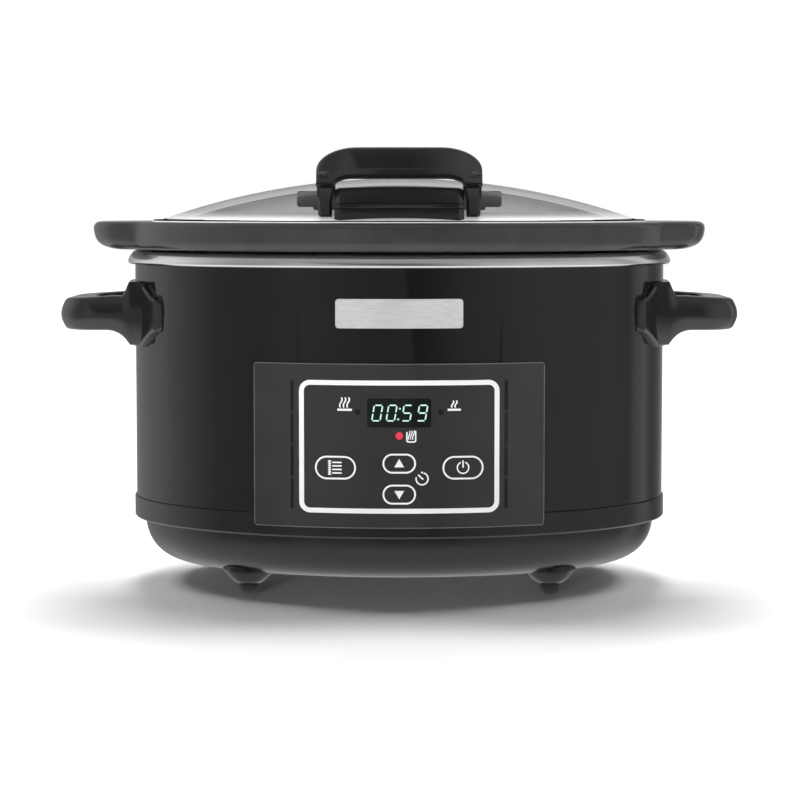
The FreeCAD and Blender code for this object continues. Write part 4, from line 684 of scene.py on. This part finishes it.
def make_side_handle(name, node, side):
    """A bowed loop whose arms flare into an eight-sided pad on the housing."""
    low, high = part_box(node)
    reach = max(abs(low.x), abs(high.x))
    middle_z = low.z + HANDLE_MIDDLE
    section = BAR_FACE + [(w, -h) for w, h in BAR_FACE[:0:-1]]
    sections = []
    for x, y, ox, oy in loop_stations(reach):
        fade = clamp((x - FADE_START) / FADE_RUN)
        up = flare(FLARE_UP, x) * fade + ARM_RISE * clamp((reach - x) / ARM_RISE_RUN)
        down = flare(FLARE_DOWN, x) * fade
        ring = []
        for w, h in section:
            share = h / BAR_HALF
            flared = up * max(0, share) - down * max(0, -share)
            z = middle_z + (BAR_SQUASH * h - BAR_DROP) * MM + flared
            ring.append(Vector((side * (x + ox * w * MM), CY + y + oy * w * MM,
                                max(low.z, min(high.z, z)))))
        sections.append(ring)
    plate = []
    for y, down, up, grow in pad_stops(HANDLE_MIDDLE, high.z - middle_z):
        lo, hi = middle_z - down, middle_z + up
        ring = []
        for g, z in ((PAD_SINK, lo), (grow - PAD_EDGE, lo), (grow, lo + PAD_EDGE),
                     (grow, hi - PAD_EDGE), (grow - PAD_EDGE, hi), (PAD_SINK, hi)):
            x = (RX + g) * math.sqrt(1 - (y / (RY + g)) ** 2)
            ring.append(Vector((side * x, CY + y, z)))
        plate.append(ring)
    obj = merged(name, [sweep(sections), sweep(plate)])
    return dress(obj, "base", "handle_plastic", [node], sharp=24)


make_side_handle("handle_loop_left", "side_handle_left", -1)
make_side_handle("handle_loop_right", "side_handle_right", 1)


# --- lid handle -----------------------

GRIP_LOW, GRIP_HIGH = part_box("lid_handle_grip")
BLOCK_LOW, BLOCK_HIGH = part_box("lid_handle_base")
GRIP_CORNER_X, GRIP_CORNER_Z = 24.5 * MM, 13.6 * MM
GRIP_DROP, GRIP_STEPS, GRIP_BOW = 17.5 * MM, 96, 9.5 * MM
# the opening's corner: where the underside starts down, over what run, and how far
DIP_START, DIP_RUN, DIP_DEPTH = 28 * MM, 10.7 * MM, 4.9 * MM
# the grip's section in mm: back from its bowed face or from its straight front line, then up from
# its underside or its top; lip, brow and back shrink in height where the grip is less than full
GRIP_FULL = 16 * MM
FACE_LIP = [(3.2, 0), (0.9, 0.5), (0, 1.6), (0.2, 4.4), (0.9, 5.0), (1.9, 10)]
FACE_BROW = [(3.2, -2.2), (4.0, -0.8)]
FACE_CROWN = [(5.6, -0.1), (8.5, 0)]
LINE_BACK = [(19, -0.9), (21.5, -4)]
LINE_UNDER = [(23, -0.6), (20, -1.3)]
FACE_UNDER = [(6, -1.0)]
LEG_WIDTH, LEG_ROUND, LEG_TAPER = 9.2 * MM, 1.6 * MM, 2 * MM
# a leg in mm: up from its foot, in from the grip's end, forward of the block
LEG_LEVELS = [(0, 2.2, -1.2), (1.2, 1.0, 0), (9, 0.4, 0), (17, 0.3, 1.5), (23, 0.5, 7),
              (27, 1.2, 9)]


def grip_section(x, half, front, top):
    """The grip's section at x."""
    over = max(0.0, (abs(x) - (half - GRIP_CORNER_X)) / GRIP_CORNER_X)
    zt = top - GRIP_CORNER_Z * (1 - math.sqrt(max(0.0, 1 - over * over)))
    dip = clamp((abs(x) - DIP_START) / DIP_RUN)
    zl = top - GRIP_DROP - DIP_DEPTH * (1 - math.sqrt(1 - dip * dip))
    yf = front + GRIP_BOW * abs(x / half) ** 2.6
    slope = min(1.0, (zt - zl) / GRIP_FULL)
    return [Vector((x, y + back * MM, z + up * MM * share))
            for y, z, share, run in ((yf, zl, slope, FACE_LIP), (yf, zt, slope, FACE_BROW),
                                     (yf, zt, 1, FACE_CROWN), (front, zt, slope, LINE_BACK),
                                     (front, zl, 1, LINE_UNDER), (yf, zl, 1, FACE_UNDER))
            for back, up in run]


def make_grip():
    """The arched grip: a bowed front bar that overhangs two legs."""
    half, front, top, rear = GRIP_HIGH.x, GRIP_LOW.y, GRIP_HIGH.z, GRIP_HIGH.y
    xs = [-half * math.cos(math.pi * n / GRIP_STEPS) for n in range(GRIP_STEPS + 1)]
    parts = [sweep([grip_section(x, half, front, top) for x in xs])]
    foot = FLANGE_TOP + 2.2 * MM
    for side in (-1, 1):
        rings = []
        for h, back, grow in LEG_LEVELS:
            outer = half - back * MM
            inner = half - LEG_WIDTH - (LEG_TAPER if h > 16 else 0)
            yf, r = BLOCK_LOW.y + (4.6 - grow) * MM, LEG_ROUND
            corners = [(inner, yf + r), (inner + r, yf), (outer - r, yf), (outer, yf + r),
                       (outer, rear - r), (outer - r, rear), (inner + r, rear), (inner, rear - r)]
            rings.append([Vector((side * x, y, foot + h * MM)) for x, y in corners])
        parts.append(sweep(rings))
    return dress(merged("lid_grip", parts), "lid", "handle_plastic", ["lid_handle_grip"], sharp=26)


BLOCK_STEPS = 12
BLOCK_END, BLOCK_INSET, BLOCK_LIFT, BLOCK_BOW = 0.94, 2.2 * MM, 1.0 * MM, 1.6 * MM


def block_section(s, front, rear, half, foot):
    """The block's section at a share of its half width."""
    end = max(0.0, abs(s) - BLOCK_END) / (1 - BLOCK_END)
    lift = BLOCK_LIFT * (1 - s * s)
    bow = BLOCK_BOW * s * s
    yf, yr = front + BLOCK_INSET * end, rear - BLOCK_INSET * end
    zt = BLOCK_HIGH.z - 1.0 * MM + lift - 1.2 * MM * end
    bead = foot + 9.4 * MM + 0.6 * lift
    outline = [
        (yf + 1.6 * MM, foot), (yf + 1.4 * MM, foot + 4 * MM), (yf + 1.6 * MM, foot + 6.6 * MM),
        (yf + 0.3 * MM, foot + 7.2 * MM), (yf + bow * 0.2, bead - 1.2 * MM),
        (yf + 0.35 * MM + bow * 0.3, bead), (yf + 1.2 * MM + bow * 0.6, bead + 0.6 * MM),
        (yf + 2.6 * MM + bow, zt - 2.0 * MM), (yf + 3.6 * MM + bow, zt - 0.5 * MM),
        (yf + 5.2 * MM + bow, zt), (yr - 4 * MM, zt), (yr - 1 * MM, zt - 3 * MM),
        (yr, foot + 6 * MM), (yr, foot),
    ]
    return [Vector((half * s, y, z)) for y, z in outline]


def make_block():
    """The block between the legs: a bowed front with a bead along its foot."""
    half, foot = BLOCK_HIGH.x - 1.4 * MM, FLANGE_TOP + 0.2 * MM
    shares = [n / BLOCK_STEPS for n in range(-BLOCK_STEPS, BLOCK_STEPS + 1)]
    skin = sweep([block_section(s, BLOCK_LOW.y, BLOCK_HIGH.y, half, foot) for s in shares])
    obj = merged("lid_block", [skin])
    return dress(obj, "lid", "handle_plastic", ["lid_handle_base"], sharp=26)


make_grip()
make_block()


# --- panel prints ---------------------

PRINT_HEIGHT = 0.12 * MM
PRINT_SINK = 0.10 * MM
COLLAR = 1.1 * MM
OVERLAY_LOW, OVERLAY_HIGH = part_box("panel_overlay")
WINDOW_LOW, WINDOW_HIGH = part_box("display_window")
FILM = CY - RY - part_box("panel_overlay")[0].y
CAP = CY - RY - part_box("button_up")[0].y


def centre_of(node):
    low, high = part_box(node)
    return Vector(((low.x + high.x) / 2, (low.z + high.z) / 2))


class Prints:
    """Flat inked shapes in (x, z), gathered into one raised mesh on the curved front."""

    def __init__(self, grow):
        self.grow = grow
        self.points = []
        self.faces = []

    def plate(self, outline):
        """A filled convex shape."""
        start, count = len(self.points), len(outline)
        for lift in (PRINT_HEIGHT, -PRINT_SINK):
            self.points += [(x, front_y(x, self.grow + lift), z) for x, z in outline]
        self.faces.append(tuple(range(start, start + count)))
        self.faces.append(tuple(range(start + count, start + 2 * count))[::-1])
        for n in range(count):
            m = (n + 1) % count
            self.faces.append((start + m, start + n, start + count + n, start + count + m))

    def stroke(self, path, width, closed=False):
        """A line of even width along a path, mitred at its corners."""
        path = [Vector(p) for p in path]
        count = len(path)
        start = len(self.points)
        for n, here in enumerate(path):
            before = path[n - 1] if n or closed else here
            after = path[(n + 1) % count] if n < count - 1 or closed else here
            first = here - before if (here - before).length else after - here
            second = after - here if (after - here).length else first
            first, second = first.normalized(), second.normalized()
            along = (first + second).normalized()
            aside = Vector((-along.y, along.x)) * (width / 2 / max(0.4, along.dot(first)))
            for side in (here + aside, here - aside):
                for lift in (PRINT_HEIGHT, -PRINT_SINK):
                    self.points.append((side.x, front_y(side.x, self.grow + lift), side.y))
        for n in range(count if closed else count - 1):
            a, b = start + 4 * n, start + 4 * ((n + 1) % count)
            for one, two in ((0, 2), (2, 3), (3, 1), (1, 0)):
                self.faces.append((a + one, a + two, b + two, b + one))
        if not closed:
            end = start + 4 * (count - 1)
            self.faces.append((start, start + 1, start + 3, start + 2))
            self.faces.append((end, end + 2, end + 3, end + 1))

    def finish(self, name, body, slot, material):
        obj = mesh_object(name, self.points, self.faces)
        return dress(obj, body, slot, material=material, sharp=30)


def round_path(centre, half_width, half_height, radius, steps=10, run=8):
    """A rounded rectangle's outline, its long sides split so that they follow the curved front."""
    corners = []
    for sx, sz, turn in ((1, 1, 0), (-1, 1, 90), (-1, -1, 180), (1, -1, 270)):
        middle = (centre[0] + sx * (half_width - radius), centre[1] + sz * (half_height - radius))
        corners.append([(middle[0] + radius * math.cos(math.radians(turn + 90 * n / steps)),
                         middle[1] + radius * math.sin(math.radians(turn + 90 * n / steps)))
                        for n in range(steps + 1)])
    path = []
    for n, corner in enumerate(corners):
        path += corner
        end, begin = corner[-1], corners[(n + 1) % 4][0]
        path += [(end[0] + (begin[0] - end[0]) * k / run, end[1] + (begin[1] - end[1]) * k / run)
                 for k in range(1, run) if math.dist(end, begin) > 0.5 * MM]
    return path


def turn_path(centre, radius, start, end, steps=28):
    return [(centre[0] + radius * math.cos(math.radians(start + (end - start) * n / steps)),
             centre[1] + radius * math.sin(math.radians(start + (end - start) * n / steps)))
            for n in range(steps + 1)]


def wave_path(x, low, high, sway):
    """A rising wisp of steam."""
    return [(x + (high - low) * 0.12 * (n / 12 - 0.5) - sway * math.sin(2 * math.pi * n / 12),
             low + (high - low) * n / 12) for n in range(13)]


# the two heat settings: x, the bar's half width, how many wisps, how tall and how far apart
HEAT_ICONS = [(-32.3 * MM, 4.3 * MM, 3, 6.0 * MM, 2.15 * MM),
              (32.5 * MM, 3.9 * MM, 2, 4.1 * MM, 2.0 * MM)]
HEAT_PEN, HEAT_GAP, WISP_SWAY, WISP_PEN = 1.3 * MM, 1.3 * MM, 0.5 * MM, 0.85 * MM


def heat_icon(ink, z, x, half_width, waves, tall, pitch):
    """Wisps over a bar: one of the heat settings."""
    ink.stroke([(x - half_width, z), (x, z), (x + half_width, z)], HEAT_PEN)
    foot = z + HEAT_GAP
    for n in range(waves):
        wisp = x + (n - (waves - 1) / 2) * pitch
        ink.stroke(wave_path(wisp, foot, foot + tall, WISP_SWAY), WISP_PEN)


FRAME_WIDTH, FRAME_GAP, FRAME_CORNER = 2.9 * MM, 0.1 * MM, 5.0 * MM
ICON_LIFT = 10.3 * MM
# the warm setting's pot, in mm from its middle, and the width of its line
POT_ICON = (7.1 * MM, 102.0 * MM)
POT_LINE = [(-2.3, 2.6), (-2.6, 1.8), (-2.6, -2.6), (-1.9, -3.3), (1.9, -3.3), (2.6, -2.6),
            (2.6, 2.8), (1.6, 3.2)]
POT_PEN, POT_WISP_PEN, POT_WISP_STEP = 0.8 * MM, 0.62 * MM, 1.25 * MM
# the timer: an open dial with a hand and a dot
DIAL = (13.5 * MM, 76.8 * MM)
DIAL_HAND = [(-2.3, 2.4), (-0.6, 0.7), (0.7, -0.4)]
DIAL_RADIUS, DIAL_ARC, DIAL_PEN, HAND_PEN = 3.55 * MM, (165, 435), 0.85 * MM, 0.95 * MM
DOT_LIFT, DOT_RADIUS = 3.75 * MM, 0.6 * MM


def marks_at(centre, offsets):
    """Points given in mm from a centre."""
    return [(centre[0] + x * MM, centre[1] + z * MM) for x, z in offsets]


def make_film_prints():
    """Everything inked on the overlay."""
    ink = Prints(FILM)
    middle = ((OVERLAY_LOW.x + OVERLAY_HIGH.x) / 2, (OVERLAY_LOW.z + OVERLAY_HIGH.z) / 2)
    half_x = (OVERLAY_HIGH.x - OVERLAY_LOW.x - FRAME_WIDTH) / 2 - FRAME_GAP
    half_z = (OVERLAY_HIGH.z - OVERLAY_LOW.z - FRAME_WIDTH) / 2 - FRAME_GAP
    ink.stroke(round_path(middle, half_x, half_z, FRAME_CORNER, run=24), FRAME_WIDTH, closed=True)
    for icon in HEAT_ICONS:
        heat_icon(ink, WINDOW_LOW.z + ICON_LIFT, *icon)
    ink.stroke(marks_at(POT_ICON, POT_LINE), POT_PEN)
    x, z = POT_ICON
    for n in (-1, 0, 1):
        wisp = wave_path(x + n * POT_WISP_STEP, z - 1.9 * MM, z + 3.3 * MM, 0.3 * MM)
        ink.stroke(wisp, POT_WISP_PEN)
    x, z = DIAL
    ink.stroke(turn_path(DIAL, DIAL_RADIUS, *DIAL_ARC), DIAL_PEN)
    ink.stroke(marks_at(DIAL, DIAL_HAND), HAND_PEN)
    ink.plate(turn_path((x, z + DOT_LIFT), DOT_RADIUS, 0, 345, 15))
    return ink.finish("print_film", "base", "overlay_film", PRINT_WHITE)


EDGE_WIDTH, EDGE_CORNER = 0.42 * MM, 1.5 * MM


def make_bezel_highlight_line():
    """A painted highlight: the pale line that runs round the panel's edge."""
    low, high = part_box("panel_bezel")
    line = Prints(BEZEL_PROUD)
    middle = ((low.x + high.x) / 2, (low.z + high.z) / 2)
    path = round_path(middle, (high.x - low.x) / 2 - EDGE_WIDTH, (high.z - low.z) / 2 - EDGE_WIDTH,
                      EDGE_CORNER, run=32)
    line.stroke(path, EDGE_WIDTH, closed=True)
    return line.finish("bezel_highlight_line", "base", "panel_plastic", BEZEL_HIGHLIGHT)


SLOT_X, SLOT_PEN, SLOT_BRIDGE, SLOT_DEEP = 63.4 * MM, 1.9 * MM, 0.8 * MM, 1.3 * MM
SLOT_FOOT, SLOT_HEAD = 1.6 * MM, 0.4 * MM


def make_slot_shade():
    """Painted shade: dark lines at the bottom of the slots beside the overlay, in four lengths with
    bridges.
    """
    dark = Prints(BEZEL_PROUD - SLOT_DEEP)
    low, high = OVERLAY_LOW.z + SLOT_FOOT, OVERLAY_HIGH.z + SLOT_HEAD
    quarter = (high - low) / 4
    for x in (-SLOT_X, SLOT_X):
        for n in range(4):
            a, b = low + n * quarter + SLOT_BRIDGE, low + (n + 1) * quarter - SLOT_BRIDGE
            dark.stroke([(x, a), (x, (a + b) / 2), (x, b)], SLOT_PEN)
    dark.finish("panel_slot_shade", "base", "panel_plastic", MATERIALS["foot_rubber"])


CAP_LINE = 1.05 * MM
# an arrow in mm, pointing up; the tick marks and text lines of the mode button's mark
ARROW = [(-2.9, -2.2), (2.9, -2.2), (0, 2.8)]
POWER_RADIUS, POWER_ARC, POWER_STEM = 3.4 * MM, (112, 428), [(0, 4.3), (0, 0)]
RAIL_X, RAIL_END, TICK_HALF, TEXT_SPAN = -3.5, 4.2, 0.9, (1.6, 7.2)
ARC_PEN, TEXT_PEN, RAIL_PEN, TICK_PEN = 0.8 * MM, 0.85 * MM, 0.5 * MM, 0.75 * MM
TICKS = [3.9 - n * 1.3 for n in range(7)]
TEXT_LINES = [3.15 - n * 2.1 for n in range(4)]


def cap_ring(ink, name):
    """The printed ring round the edge of a button's cap."""
    low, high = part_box(name)
    half_x = (high.x - low.x) / 2 - COLLAR - CAP_LINE / 2
    half_z = (high.z - low.z) / 2 - COLLAR - CAP_LINE / 2
    path = round_path(centre_of(name), half_x, half_z, half_z - 0.05 * MM, steps=14)
    ink.stroke(path, CAP_LINE, closed=True)


def print_button(name, draw):
    """One button's marks and its ring; they ride the button."""
    ink = Prints(CAP)
    draw(ink, centre_of("button_" + name))
    cap_ring(ink, "button_" + name)
    ink.finish("print_" + name, "button_" + name, "button_plastic", PRINT_WHITE)


def draw_up(ink, centre):
    ink.plate(marks_at(centre, ARROW))


def draw_down(ink, centre):
    ink.plate(marks_at(centre, [(x, -z) for x, z in ARROW])[::-1])


def draw_power(ink, centre):
    ink.stroke(turn_path(centre, POWER_RADIUS, *POWER_ARC), ARC_PEN)
    ink.stroke(marks_at(centre, POWER_STEM), TEXT_PEN)


def draw_mode(ink, centre):
    """A scale with seven ticks, and four lines of text beside it."""
    ink.stroke(marks_at(centre, [(RAIL_X, RAIL_END), (RAIL_X, 0), (RAIL_X, -RAIL_END)]), RAIL_PEN)
    for z in TICKS:
        ink.stroke(marks_at(centre, [(RAIL_X - TICK_HALF, z), (RAIL_X + TICK_HALF, z)]), TICK_PEN)
    for z in TEXT_LINES:
        ink.stroke(marks_at(centre, [(RAIL_X + x, z) for x in TEXT_SPAN]), TEXT_PEN)


# a digit's lit bars: top, upper right, lower right, bottom, lower left, upper left, middle
SEGMENTS = {"0": (1, 1, 1, 1, 1, 1, 0), "5": (1, 0, 1, 1, 0, 1, 1), "9": (1, 1, 1, 1, 0, 1, 1)}


DIGIT_X, DIGIT_Z, DIGIT_PEN, DIGIT_GAP, DIGIT_LEAN = 2.45 * MM, 4.6 * MM, 0.78 * MM, 0.55 * MM, 0.17
CLOCK = [("0", -13.0), ("0", -4.5), ("5", 4.6), ("9", 13.6)]
COLON, COLON_DOT = (2.6, -3.7), 0.55 * MM


def make_digits():
    """The lit clock, lettered on the window's face."""
    glow = Prints(BEZEL_PROUD)
    middle = (WINDOW_LOW.z + WINDOW_HIGH.z) / 2
    w, h = DIGIT_X, DIGIT_Z
    places = [((-w, h), (w, h)), ((w, h), (w, 0)), ((w, 0), (w, -h)), ((-w, -h), (w, -h)),
              ((-w, 0), (-w, -h)), ((-w, h), (-w, 0)), ((-w, 0), (w, 0))]
    for digit, place in CLOCK:
        for lit, (start, end) in zip(SEGMENTS[digit], places):
            if lit:
                start, end = Vector(start), Vector(end)
                gap = (end - start).normalized() * DIGIT_GAP
                glow.stroke([(place * MM + p.x + DIGIT_LEAN * p.y, middle + p.y)
                             for p in (start + gap, end - gap)], DIGIT_PEN)
    for dz in COLON:
        spot = (DIGIT_LEAN * dz * MM, middle + dz * MM)
        glow.plate(turn_path(spot, COLON_DOT, 0, 345, 15))
    glow.finish("clock_digits", "base", "window_plastic", PRINT_MINT)


make_film_prints()
make_bezel_highlight_line()
make_slot_shade()
print_button("up", draw_up)
print_button("down", draw_down)
print_button("power", draw_power)
print_button("mode", draw_mode)
make_digits()


# --- stage, light and camera ----------

# Brightness of the room at eye level, by direction in degrees: 0 is the camera's side, 90 is +X
LEFT_ROOM = [(-180, 0.35), (-162, 0.32), (-149, 0.41), (-132, 0.60), (-110, 0.84), (-90, 0.66),
             (-70, 0.36), (-51, 0.29), (-35, 0.43), (-20, 0.36), (-6, 0.27), (4, 0.31), (30, 0.31)]
RIGHT_ROOM = [(-30, 0.09), (3, 0.09), (10, 0.16), (24, 0.38), (43, 0.53), (61, 0.57), (90, 0.50),
              (104, 0.34), (110, 0.58), (121, 0.62), (127, 0.33), (135, 0.20), (148, 0.24),
              (164, 0.42), (180, 0.38)]
# where the left screen ends and the right one starts, and how far that line leans, in degrees
SCREEN_EDGE, SCREEN_SOFT, SCREEN_LEAN = 0.5, 0.4, 0.93
SCREEN_BACK = (-91, -90)
# the room above the screens and below them: the heights over which it takes over, and its tone
OVERHEAD_RISE, OVERHEAD = (22, 55), 0.36
FLOOR_FALL, FLOOR_GLOW = (-12, -38), 0.95
DIFFUSE_GLOW, BACKDROP = 0.08, 1.0
FLOOR_HALF, FLOOR_PAINT = 6.0, (0.86, 0.90)
FLOOR_POLISH, FLOOR_GLOSS, FLOOR_ROUGHNESS = 0.9, 0.22, 0.30
# the lamps: azimuth and height in degrees, strength, spread in degrees
KEY_SPREAD = 20
LAMPS = [("key_left", 236, 50, 1.6, KEY_SPREAD), ("key_right", 124, 50, 1.6, KEY_SPREAD),
         ("key_low", 180, 45, 2.3, KEY_SPREAD), ("key_high", 180, 66, 1.7, KEY_SPREAD),
         ("front_light", -20, 3.5, 2.0, 12)]
LENS, SENSOR, CAMERA_PITCH = 114.66, 36, 4.54
CAMERA_X, CAMERA_BACK, CAMERA_Z = 0.00045, 1.628, 0.2424


def make_floor():
    h = FLOOR_HALF
    obj = mesh_object("floor", [(-h, -h, 0), (h, -h, 0), (h, h, 0), (-h, h, 0)], [(0, 1, 2, 3)])
    material = bpy.data.materials.new("floor_white")
    material.use_nodes = True
    graph = Graph(material.node_tree)
    place = graph.node("ShaderNodeTexCoord").outputs["Object"]
    cloud = graph.noise(place, 3)
    tone = graph.blend(cloud, *[grey(value) for value in FLOOR_PAINT])
    paint = graph.node("ShaderNodeBsdfDiffuse", {"Color": tone})
    polish = graph.node("ShaderNodeBsdfGlossy", {"Color": grey(FLOOR_POLISH),
                                                 "Roughness": FLOOR_ROUGHNESS})
    mixed = graph.node("ShaderNodeMixShader", {0: FLOOR_GLOSS})
    graph.join(paint.outputs[0], mixed.inputs[1])
    graph.join(polish.outputs[0], mixed.inputs[2])
    graph.node("ShaderNodeOutputMaterial", {"Surface": mixed.outputs[0]})
    obj.data.materials.append(material)
    obj.visible_glossy = False


def room_ramp(graph, azimuth, stops):
    """Brightness by direction, as a ramp over the full turn."""
    ramp = graph.node("ShaderNodeValToRGB", {"Fac": graph.step(azimuth, -180, 180, smooth=False)})
    elements = ramp.color_ramp.elements
    while len(elements) < len(stops):
        elements.new(0.5)
    for element, (angle, value) in zip(elements, stops):
        element.position = (angle + 180) / 360
    for element, (angle, value) in zip(elements, stops):
        element.color = (value, value, value, 1)
    return ramp.outputs["Color"]


def make_world():
    """A pale studio: bright to the camera, a room of screens to reflections, weak as a lamp."""
    world = bpy.data.worlds.new("studio")
    SCENE.world = world
    world.use_nodes = True
    graph = Graph(world.node_tree)
    way = graph.node("ShaderNodeTexCoord").outputs["Generated"]
    x, y, z = graph.node("ShaderNodeSeparateXYZ", {"Vector": way}).outputs
    turn = graph.math("ARCTAN2", x, graph.math("MULTIPLY", y, -1.0))
    azimuth = graph.math("MULTIPLY", turn, 180 / math.pi)
    height = graph.math("MULTIPLY", graph.math("ARCSINE", z), 180 / math.pi)
    lean = graph.math("ADD", azimuth, graph.math("MULTIPLY", height, SCREEN_LEAN))
    right = graph.step(lean, SCREEN_EDGE - SCREEN_SOFT, SCREEN_EDGE + SCREEN_SOFT)
    behind = graph.step(azimuth, *SCREEN_BACK, 1.0, 0.0)
    level = graph.blend(graph.math("MULTIPLY", right, graph.math("SUBTRACT", 1.0, behind)),
                        room_ramp(graph, azimuth, LEFT_ROOM), room_ramp(graph, azimuth, RIGHT_ROOM))
    room = graph.blend(graph.step(height, *OVERHEAD_RISE), level, grey(OVERHEAD))
    room = graph.blend(graph.step(height, *FLOOR_FALL), room, grey(FLOOR_GLOW))
    rays = graph.node("ShaderNodeLightPath").outputs
    room = graph.blend(rays["Is Diffuse Ray"], room, grey(DIFFUSE_GLOW))
    room = graph.blend(graph.math("MAXIMUM", rays["Is Camera Ray"], rays["Is Transmission Ray"]),
                       room, grey(BACKDROP))
    back = graph.node("ShaderNodeBackground", {"Color": room, "Strength": 1.0})
    graph.node("ShaderNodeOutputWorld", {"Surface": back.outputs[0]})


def make_sun(name, azimuth, elevation, strength, spread):
    """A distant soft light that lights surfaces but isn't mirrored in them."""
    a, e = math.radians(azimuth), math.radians(elevation)
    towards = Vector((math.sin(a) * math.cos(e), -math.cos(a) * math.cos(e), math.sin(e)))
    light = bpy.data.lights.new(name, "SUN")
    light.energy = strength
    light.angle = math.radians(spread)
    obj = bpy.data.objects.new(name, light)
    obj.rotation_euler = towards.to_track_quat("Z", "Y").to_euler()
    obj.visible_glossy = False
    SCENE.collection.objects.link(obj)


def make_camera():
    camera = bpy.data.cameras.new("view")
    camera.lens = LENS
    camera.sensor_width = SENSOR
    obj = bpy.data.objects.new("view", camera)
    obj.location = (CAMERA_X, CY - CAMERA_BACK, CAMERA_Z)
    obj.rotation_euler = (math.radians(90 - CAMERA_PITCH), 0, 0)
    SCENE.collection.objects.link(obj)
    SCENE.camera = obj


make_floor()
make_world()
for lamp in LAMPS:
    make_sun(*lamp)
make_camera()
SCENE.view_settings.view_transform = "Standard"
SCENE.view_settings.look = "None"
